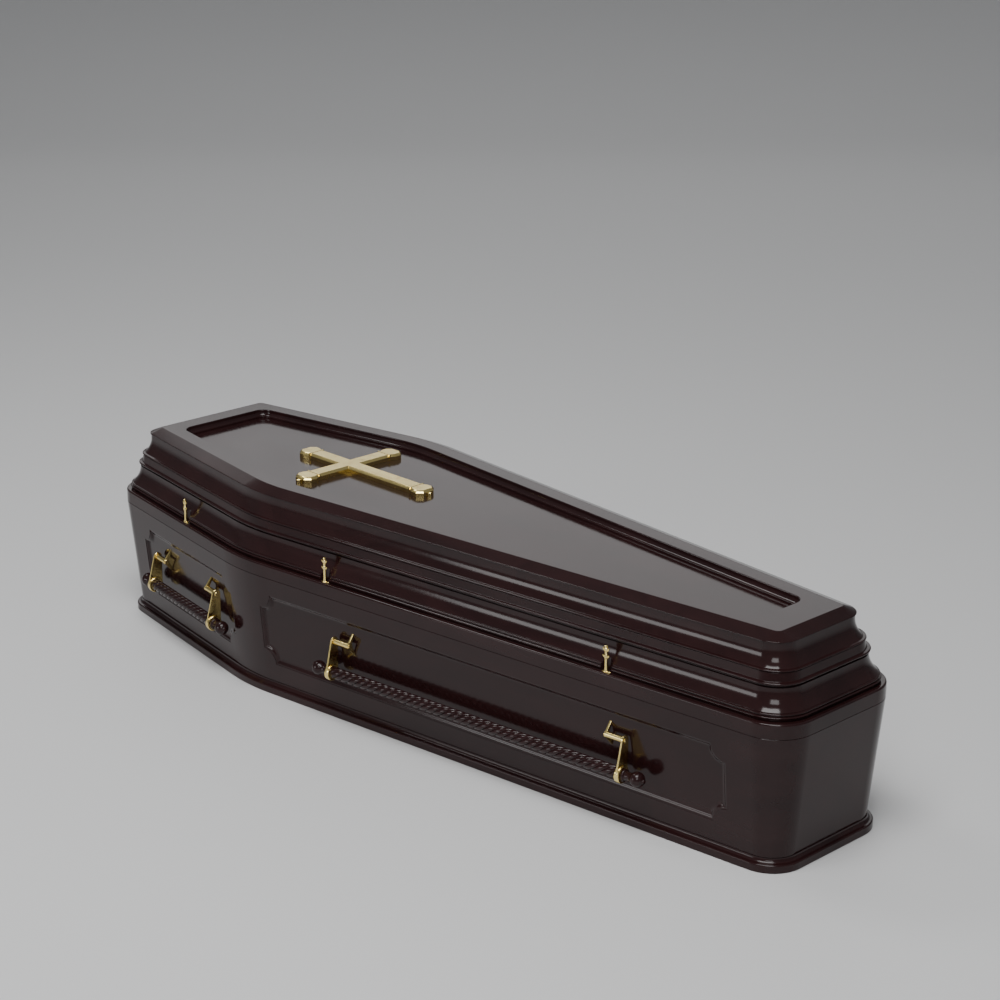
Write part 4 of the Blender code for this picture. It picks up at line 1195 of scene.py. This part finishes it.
def pad_mesh(name, first_corner):
    """Closed pad from the middle of one corner of the plan to the middle of the next."""
    n = lining_sizes()
    counts = corner_steps()
    starts = [sum(counts[:i]) + i for i in range(6)]
    total = sum(counts) + 6
    begin = starts[first_corner] + counts[first_corner] // 2
    following = (first_corner + 1) % 6
    end = starts[following] + counts[following] // 2
    if end < begin:
        end += total
    normal = plan_lines()[following][0]
    along = Vector((-normal.y, normal.x, 0))
    loops = pad_station_loops()
    bm = bmesh.new()
    stations = []
    for index in range(begin, end + 1):
        pull = along * (n.seam / 2 + 0.001) * ((index == begin) - (index == end))
        stations.append([bm.verts.new(loop[index % total] + pull) for loop in loops])
    for left, right in zip(stations, stations[1:]):
        bridge(bm, left, right)
    bm.faces.new(stations[0])
    bm.faces.new(reversed(stations[-1]))
    return make_object(name, bm)


def wall_depth(point):
    """How far a point is inside the inner wall face, and which way that face looks."""
    p = plan()
    offset = wall_offset(point.z) - box_sizes().wall_thickness
    place = Vector((point.x, point.y))
    lines = plan_lines(offset)
    depth, facing = min(((d - n.dot(place), n) for n, d in lines), key=lambda pair: pair[0])
    radii = (p.head_radius, p.shoulder_radius, p.foot_radius, p.foot_radius, p.shoulder_radius, p.head_radius)
    for i, radius in enumerate(radii):
        (n1, d1), (n2, d2) = lines[i], lines[(i + 1) % 6]
        radius += offset
        away = place - corner_point((n1, d1 - radius), (n2, d2 - radius))
        past, before = n1.x * away.y - n1.y * away.x, n2.x * away.y - n2.y * away.x
        if past > 0 > before and radius - away.length < depth:
            depth, facing = radius - away.length, away.normalized()
    return depth, facing


def lay_on_wall(obj, reach=0.0045):
    """Draws the back of a pad, all that is within reach, flat against the inner wall face."""
    for vertex in obj.data.vertices:
        depth, facing = wall_depth(vertex.co)
        if depth < reach:
            vertex.co += Vector((facing.x, facing.y, 0)) * (depth - GAP)
    obj.data.update()


def ramp(value, start, span):
    """0 at the start and 1 a span further on."""
    return (value - start) / span


def blow_up(obj, free, frames=20, nailed_below=0.02):
    """Runs the cloth under pressure, held where it isn't free, and keeps its last frame."""
    pinned = obj.vertex_groups.new(name="nailed")
    pinned.add([k for k, value in enumerate(free) if value < nailed_below], 1.0, "REPLACE")
    cloth = obj.modifiers.new("Cloth", "CLOTH")
    settings = cloth.settings
    settings.vertex_group_mass = "nailed"
    settings.quality = 5
    settings.tension_stiffness = 12
    settings.compression_stiffness = 12
    settings.shear_stiffness = 6
    settings.use_pressure = True
    settings.uniform_pressure_force = 4.0
    settings.effector_weights.gravity = 0.0
    cloth.collision_settings.use_collision = False
    for number in range(1, frames + 1):
        bpy.context.scene.frame_set(number)
    apply_all(obj)
    bpy.context.scene.frame_set(1)


def hold_back(obj, rest, free, cap):
    """Limits how far each point has moved: by the cap, and by how free it is."""
    for vertex, start, value in zip(obj.data.vertices, rest, free):
        move = vertex.co - start
        reach = move.length
        if reach > cap:
            move *= cap / reach
        vertex.co = start + move * value


def swell(obj, hold, cap, heading=0.0):
    """Swells a closed pad under pressure; hold(point) gives 0 where it is nailed down and 1 where free.

    The pad is turned by its heading so that the voxel grid lies along its faces.
    """
    turn = Matrix.Rotation(heading, 4, "Z")
    obj.data.transform(turn.inverted())
    remesh = obj.modifiers.new("Remesh", "REMESH")
    remesh.mode = "VOXEL"
    remesh.voxel_size = lining_sizes().voxel
    apply_all(obj)
    rest = [v.co.copy() for v in obj.data.vertices]
    free = [hold(turn @ point) for point in rest]
    blow_up(obj, free)
    hold_back(obj, rest, free, cap)
    obj.vertex_groups.clear()
    obj.data.transform(turn)
    smooth = obj.modifiers.new("Rounded", "SUBSURF")
    smooth.levels = smooth.render_levels = 1
    obj.data.shade_smooth()
    obj.data.update()


def press_tufts(obj, tufts):
    """Pulls the padding in round each button, with a few soft folds running out from it."""
    n = lining_sizes()
    reach, deepest = 2.2 * n.tuft_radius, 0.03
    fold_share, fold_count, fold_radius, fold_width = 0.08, 6, 0.018, 0.010
    for centre, inward in tufts:
        for vertex in obj.data.vertices:
            away = vertex.co - centre
            flat = away - inward * away.dot(inward)
            radius = flat.length
            if radius > reach or abs(away.dot(inward)) > deepest:
                continue
            angle = math.atan2(flat.z, flat.x + flat.y)
            fading = math.exp(-((radius - fold_radius) / fold_width) ** 2)
            folds = fold_share * math.cos(fold_count * angle) * fading
            pull = math.exp(-(radius / (0.7 * n.tuft_radius)) ** 2) + folds
            vertex.co -= inward * n.tuft_depth * pull
    obj.data.update()


LINING_PANELS = ("shoulder_right", "side_right", "foot", "side_left", "shoulder_left", "head")


def mitre_lines(index):
    """The two upright mitre planes of a lining panel, as points and inward normals."""
    lines = plan_lines()
    planes = []
    mine = lines[(index + 1) % 6]
    for other in (lines[index], lines[(index + 2) % 6]):
        corner = corner_point(mine, other)
        planes.append((corner, (other[0] - mine[0]).normalized() * -1))
    return planes


def lining_tufts(label):
    """Centres and inward directions of a panel's buttons, read from their CAD nodes."""
    tufts = []
    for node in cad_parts:
        if node == f"button_{label}" or node.startswith(f"button_{label}_"):
            low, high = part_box(node)
            centre = (Vector(low) + Vector(high)) / 2
            index = LINING_PANELS.index(label)
            normal = plan_lines()[(index + 1) % 6][0]
            tufts.append((node, centre, Vector((-normal.x, -normal.y, 0))))
    return tufts


def padded_panel(label):
    """Swollen panel with its tufts pressed in."""
    index = LINING_PANELS.index(label)
    planes = mitre_lines(index)
    foot = box_sizes().base_thickness
    top = ledge_z() + box_sizes().lip_height - lining_sizes().top_drop

    def hold(point):
        from_ends = min((Vector((point.x, point.y)) - c).dot(d) for c, d in planes)
        back = ramp(wall_depth(point)[0], start=0.003, span=0.010)
        low = ramp(point.z - foot, start=0.004, span=0.020)
        ends = ramp(from_ends, start=0.0, span=0.014)
        band = 0.2 + ramp(top - point.z, start=0.006, span=0.030)
        return max(0.0, min(1.0, back, low, ends, band))

    pad = pad_mesh(f"lining_{label}_padding", index)
    normal = plan_lines()[(index + 1) % 6][0]
    swell(pad, hold, lining_sizes().cap, math.atan2(normal.y, normal.x))
    lay_on_wall(pad)
    press_tufts(pad, [(centre, inward) for _, centre, inward in lining_tufts(label)])
    return pad


def mirror_image(obj, name):
    """Copy for the other hand."""
    copy = obj.copy()
    copy.name = name
    copy.data = obj.data.copy()
    copy.data.transform(Matrix.Diagonal((1, -1, 1, 1)))
    copy.data.flip_normals()
    bpy.context.collection.objects.link(copy)
    return copy


def dress_panel(pad, label):
    finish_piece(pad, "lining_cloth", BODY, f"lining_{label}")
    for node, centre, inward in lining_tufts(label):
        build_button(node, centre, inward)


def build_lining_panels():
    for label in ("head", "foot"):
        dress_panel(padded_panel(label), label)
    for part in ("shoulder", "side"):
        right = padded_panel(f"{part}_right")
        left = mirror_image(right, f"lining_{part}_left_padding")
        dress_panel(right, f"{part}_right")
        dress_panel(left, f"{part}_left")


def build_button(node, centre, inward):
    """Covered button: a low dome with a rolled rim."""
    n = lining_sizes()
    r = n.button_radius
    pairs = [(r * 0.70, -0.0030), (r * 0.93, -0.0026), (r, -0.0014), (r * 0.97, 0.0), (r * 0.86, 0.0012),
             (r * 0.66, 0.0021), (r * 0.40, 0.0027), (r * 0.12, 0.0030)]
    matrix = inward.to_track_quat("Z", "Y").to_matrix().to_4x4()
    matrix.translation = centre
    button = turned(f"{node}_cover", pairs, 32, matrix)
    finish_piece(button, "lining_cloth", BODY, node)


def build_floor_pad():
    b, n = box_sizes(), lining_sizes()
    offset = -b.wall_thickness - n.thickness - 0.004
    low = b.base_thickness + GAP + 0.0006
    top = low + n.floor_pad - n.swell_room
    shape, inner_shape = outline(offset), outline(offset - 0.006)
    loops = [level(shape, low), level(shape, top - 0.004), level(inner_shape, top)]
    pad = loft("floor_pad_padding", loops)

    def hold(point):
        return max(0.0, min(1.0, ramp(point.z - low, start=0.002, span=0.008)))

    swell(pad, hold, cap=0.006)
    finish_piece(pad, "lining_cloth", BODY, "floor_pad")


# Studio

def plain_material(name, base, roughness):
    made, _, shader = start_material(name, roughness=roughness)
    shader.inputs["Base Color"].default_value = (*base, 1.0)
    return made


def build_backdrop():
    """Floor that curves up into a backdrop, seen from the front right."""
    heading = Vector((-0.7213, 0.6926, 0))
    across = Vector((-heading.y, heading.x, 0))
    near, far, bend, half = -30.0, 7.0, 3.0, 30.0
    profile = [(near, 0.0), (far, 0.0)]
    profile += [(far + bend * math.sin(math.radians(a)), bend * (1 - math.cos(math.radians(a))))
                for a in range(6, 91, 6)]
    profile.append((far + bend, 12.0))
    bm = bmesh.new()
    rows = []
    for side in (-half, half):
        rows.append([bm.verts.new(heading * u + across * side + Vector((0, 0, z))) for u, z in profile])
    for k in range(len(profile) - 1):
        bm.faces.new((rows[0][k], rows[0][k + 1], rows[1][k + 1], rows[1][k]))
    floor = make_object("studio_floor", bm)
    floor.data.materials.append(plain_material("studio_paper", finish().backdrop, 0.55))


def area_light(name, place, target, width, height, power):
    data = bpy.data.lights.new(name, "AREA")
    data.shape = "RECTANGLE"
    data.size, data.size_y = width, height
    data.energy = power
    light = bpy.data.objects.new(name, data)
    light.location = place
    light.rotation_euler = (Vector(target) - Vector(place)).to_track_quat("-Z", "Y").to_euler()
    bpy.context.collection.objects.link(light)


def build_lights():
    middle = (0, 0, 0.3)
    area_light("overhead_softbox", (1.2, -1.5, 4.4), (0.1, 0, 0.2), width=2.6, height=2.0, power=150)
    area_light("back_softbox", (-5.2, 5.0, 3.7), middle, width=8.0, height=2.8, power=62)
    area_light("camera_softbox", (3.9, -4.0, 3.7), middle, width=2.4, height=1.8, power=75)
    area_light("head_softbox", (-2.6, -0.5, 4.0), middle, width=1.4, height=1.0, power=34)
    area_light("left_softbox", (-1.5, -4.2, 1.2), (0.2, 0, 0.3), width=1.6, height=0.9, power=26)
    world = bpy.data.worlds.new("studio_air")
    bpy.context.scene.world = world
    world.use_nodes = True
    background = world.node_tree.nodes["Background"]
    background.inputs["Color"].default_value = (0.62, 0.63, 0.65, 1.0)
    background.inputs["Strength"].default_value = 0.34


def build_camera():
    settings = bpy.context.scene.coffin_studio
    data = bpy.data.cameras.new("studio_camera")
    data.sensor_width = 36.0
    data.lens = settings.lens
    data.clip_end = 60.0
    camera = bpy.data.objects.new("studio_camera", data)
    camera.location = settings.camera_place
    camera.rotation_euler = (settings.camera_pitch, 0.0, settings.camera_heading)
    bpy.context.collection.objects.link(camera)
    bpy.context.scene.camera = camera


class COFFIN_OT_studio(bpy.types.Operator):
    """Set up the floor, the backdrop, the lights and the camera"""

    bl_idname = "coffin.studio"
    bl_label = "Studio"

    def execute(self, context):
        build_backdrop()
        build_lights()
        build_camera()
        return {"FINISHED"}


class COFFIN_OT_base_board(bpy.types.Operator):
    """Build the moulded base board"""

    bl_idname = "coffin.base_board"
    bl_label = "Base Board"

    def execute(self, context):
        build_base_board()
        return {"FINISHED"}


class COFFIN_OT_walls(bpy.types.Operator):
    """Build the leaning walls with their ledge, lip and routed panels"""

    bl_idname = "coffin.walls"
    bl_label = "Walls"

    def execute(self, context):
        build_walls()
        return {"FINISHED"}


class COFFIN_OT_lid(bpy.types.Operator):
    """Build the brim, the two mouldings and the top board of the lid"""

    bl_idname = "coffin.lid"
    bl_label = "Lid"

    def execute(self, context):
        build_brim()
        build_lower_moulding()
        build_upper_moulding()
        build_lid_top()
        return {"FINISHED"}


class COFFIN_OT_cross(bpy.types.Operator):
    """Build the brass cross in the sunken panel"""

    bl_idname = "coffin.cross"
    bl_label = "Cross"

    def execute(self, context):
        build_cross()
        return {"FINISHED"}


class COFFIN_OT_screws(bpy.types.Operator):
    """Build the thumb screws that hold the lid"""

    bl_idname = "coffin.screws"
    bl_label = "Thumb Screws"

    def execute(self, context):
        for node, place, normal in screw_places():
            build_screw(node, place, normal)
        return {"FINISHED"}


class COFFIN_OT_handles(bpy.types.Operator):
    """Build the four swing handles with their lugs, arms and rope-twist bars"""

    bl_idname = "coffin.handles"
    bl_label = "Handles"

    def execute(self, context):
        for part, hand in SIDES:
            build_handle(part, hand)
        return {"FINISHED"}


class COFFIN_OT_lining(bpy.types.Operator):
    """Build the padded lining, its buttons and the floor pad"""

    bl_idname = "coffin.lining"
    bl_label = "Lining"

    def execute(self, context):
        build_lining_panels()
        build_floor_pad()
        return {"FINISHED"}


class COFFIN_PT_panel(bpy.types.Panel):
    """Lists the pieces in the order they are built"""

    bl_idname = "COFFIN_PT_panel"
    bl_label = "Wooden Coffin"
    bl_space_type = "VIEW_3D"
    bl_region_type = "UI"
    bl_category = "Coffin"

    def draw(self, context):
        for operator in OPERATORS:
            self.layout.operator(operator.bl_idname)


SETTINGS = {
    "coffin_plan": CoffinPlan,
    "coffin_box": CoffinBox,
    "coffin_lid": CoffinLid,
    "coffin_fittings": CoffinFittings,
    "coffin_lining": CoffinLining,
    "coffin_finish": CoffinFinish,
    "coffin_studio": StudioSettings,
}
OPERATORS = (
    COFFIN_OT_studio,
    COFFIN_OT_base_board,
    COFFIN_OT_walls,
    COFFIN_OT_lid,
    COFFIN_OT_cross,
    COFFIN_OT_screws,
    COFFIN_OT_handles,
    COFFIN_OT_lining,
)


def register():
    for name, group in SETTINGS.items():
        bpy.utils.register_class(group)
        setattr(bpy.types.Scene, name, PointerProperty(type=group))
    for operator in OPERATORS:
        bpy.utils.register_class(operator)
    bpy.utils.register_class(COFFIN_PT_panel)


def unregister():
    bpy.utils.unregister_class(COFFIN_PT_panel)
    for operator in reversed(OPERATORS):
        bpy.utils.unregister_class(operator)
    for name, group in reversed(SETTINGS.items()):
        delattr(bpy.types.Scene, name)
        bpy.utils.unregister_class(group)


def main():
    register()
    bpy.ops.coffin.studio()
    bpy.ops.coffin.base_board()
    bpy.ops.coffin.walls()
    bpy.ops.coffin.lid()
    bpy.ops.coffin.cross()
    bpy.ops.coffin.screws()
    bpy.ops.coffin.handles()
    bpy.ops.coffin.lining()


if __name__ == "__main__":
    main()
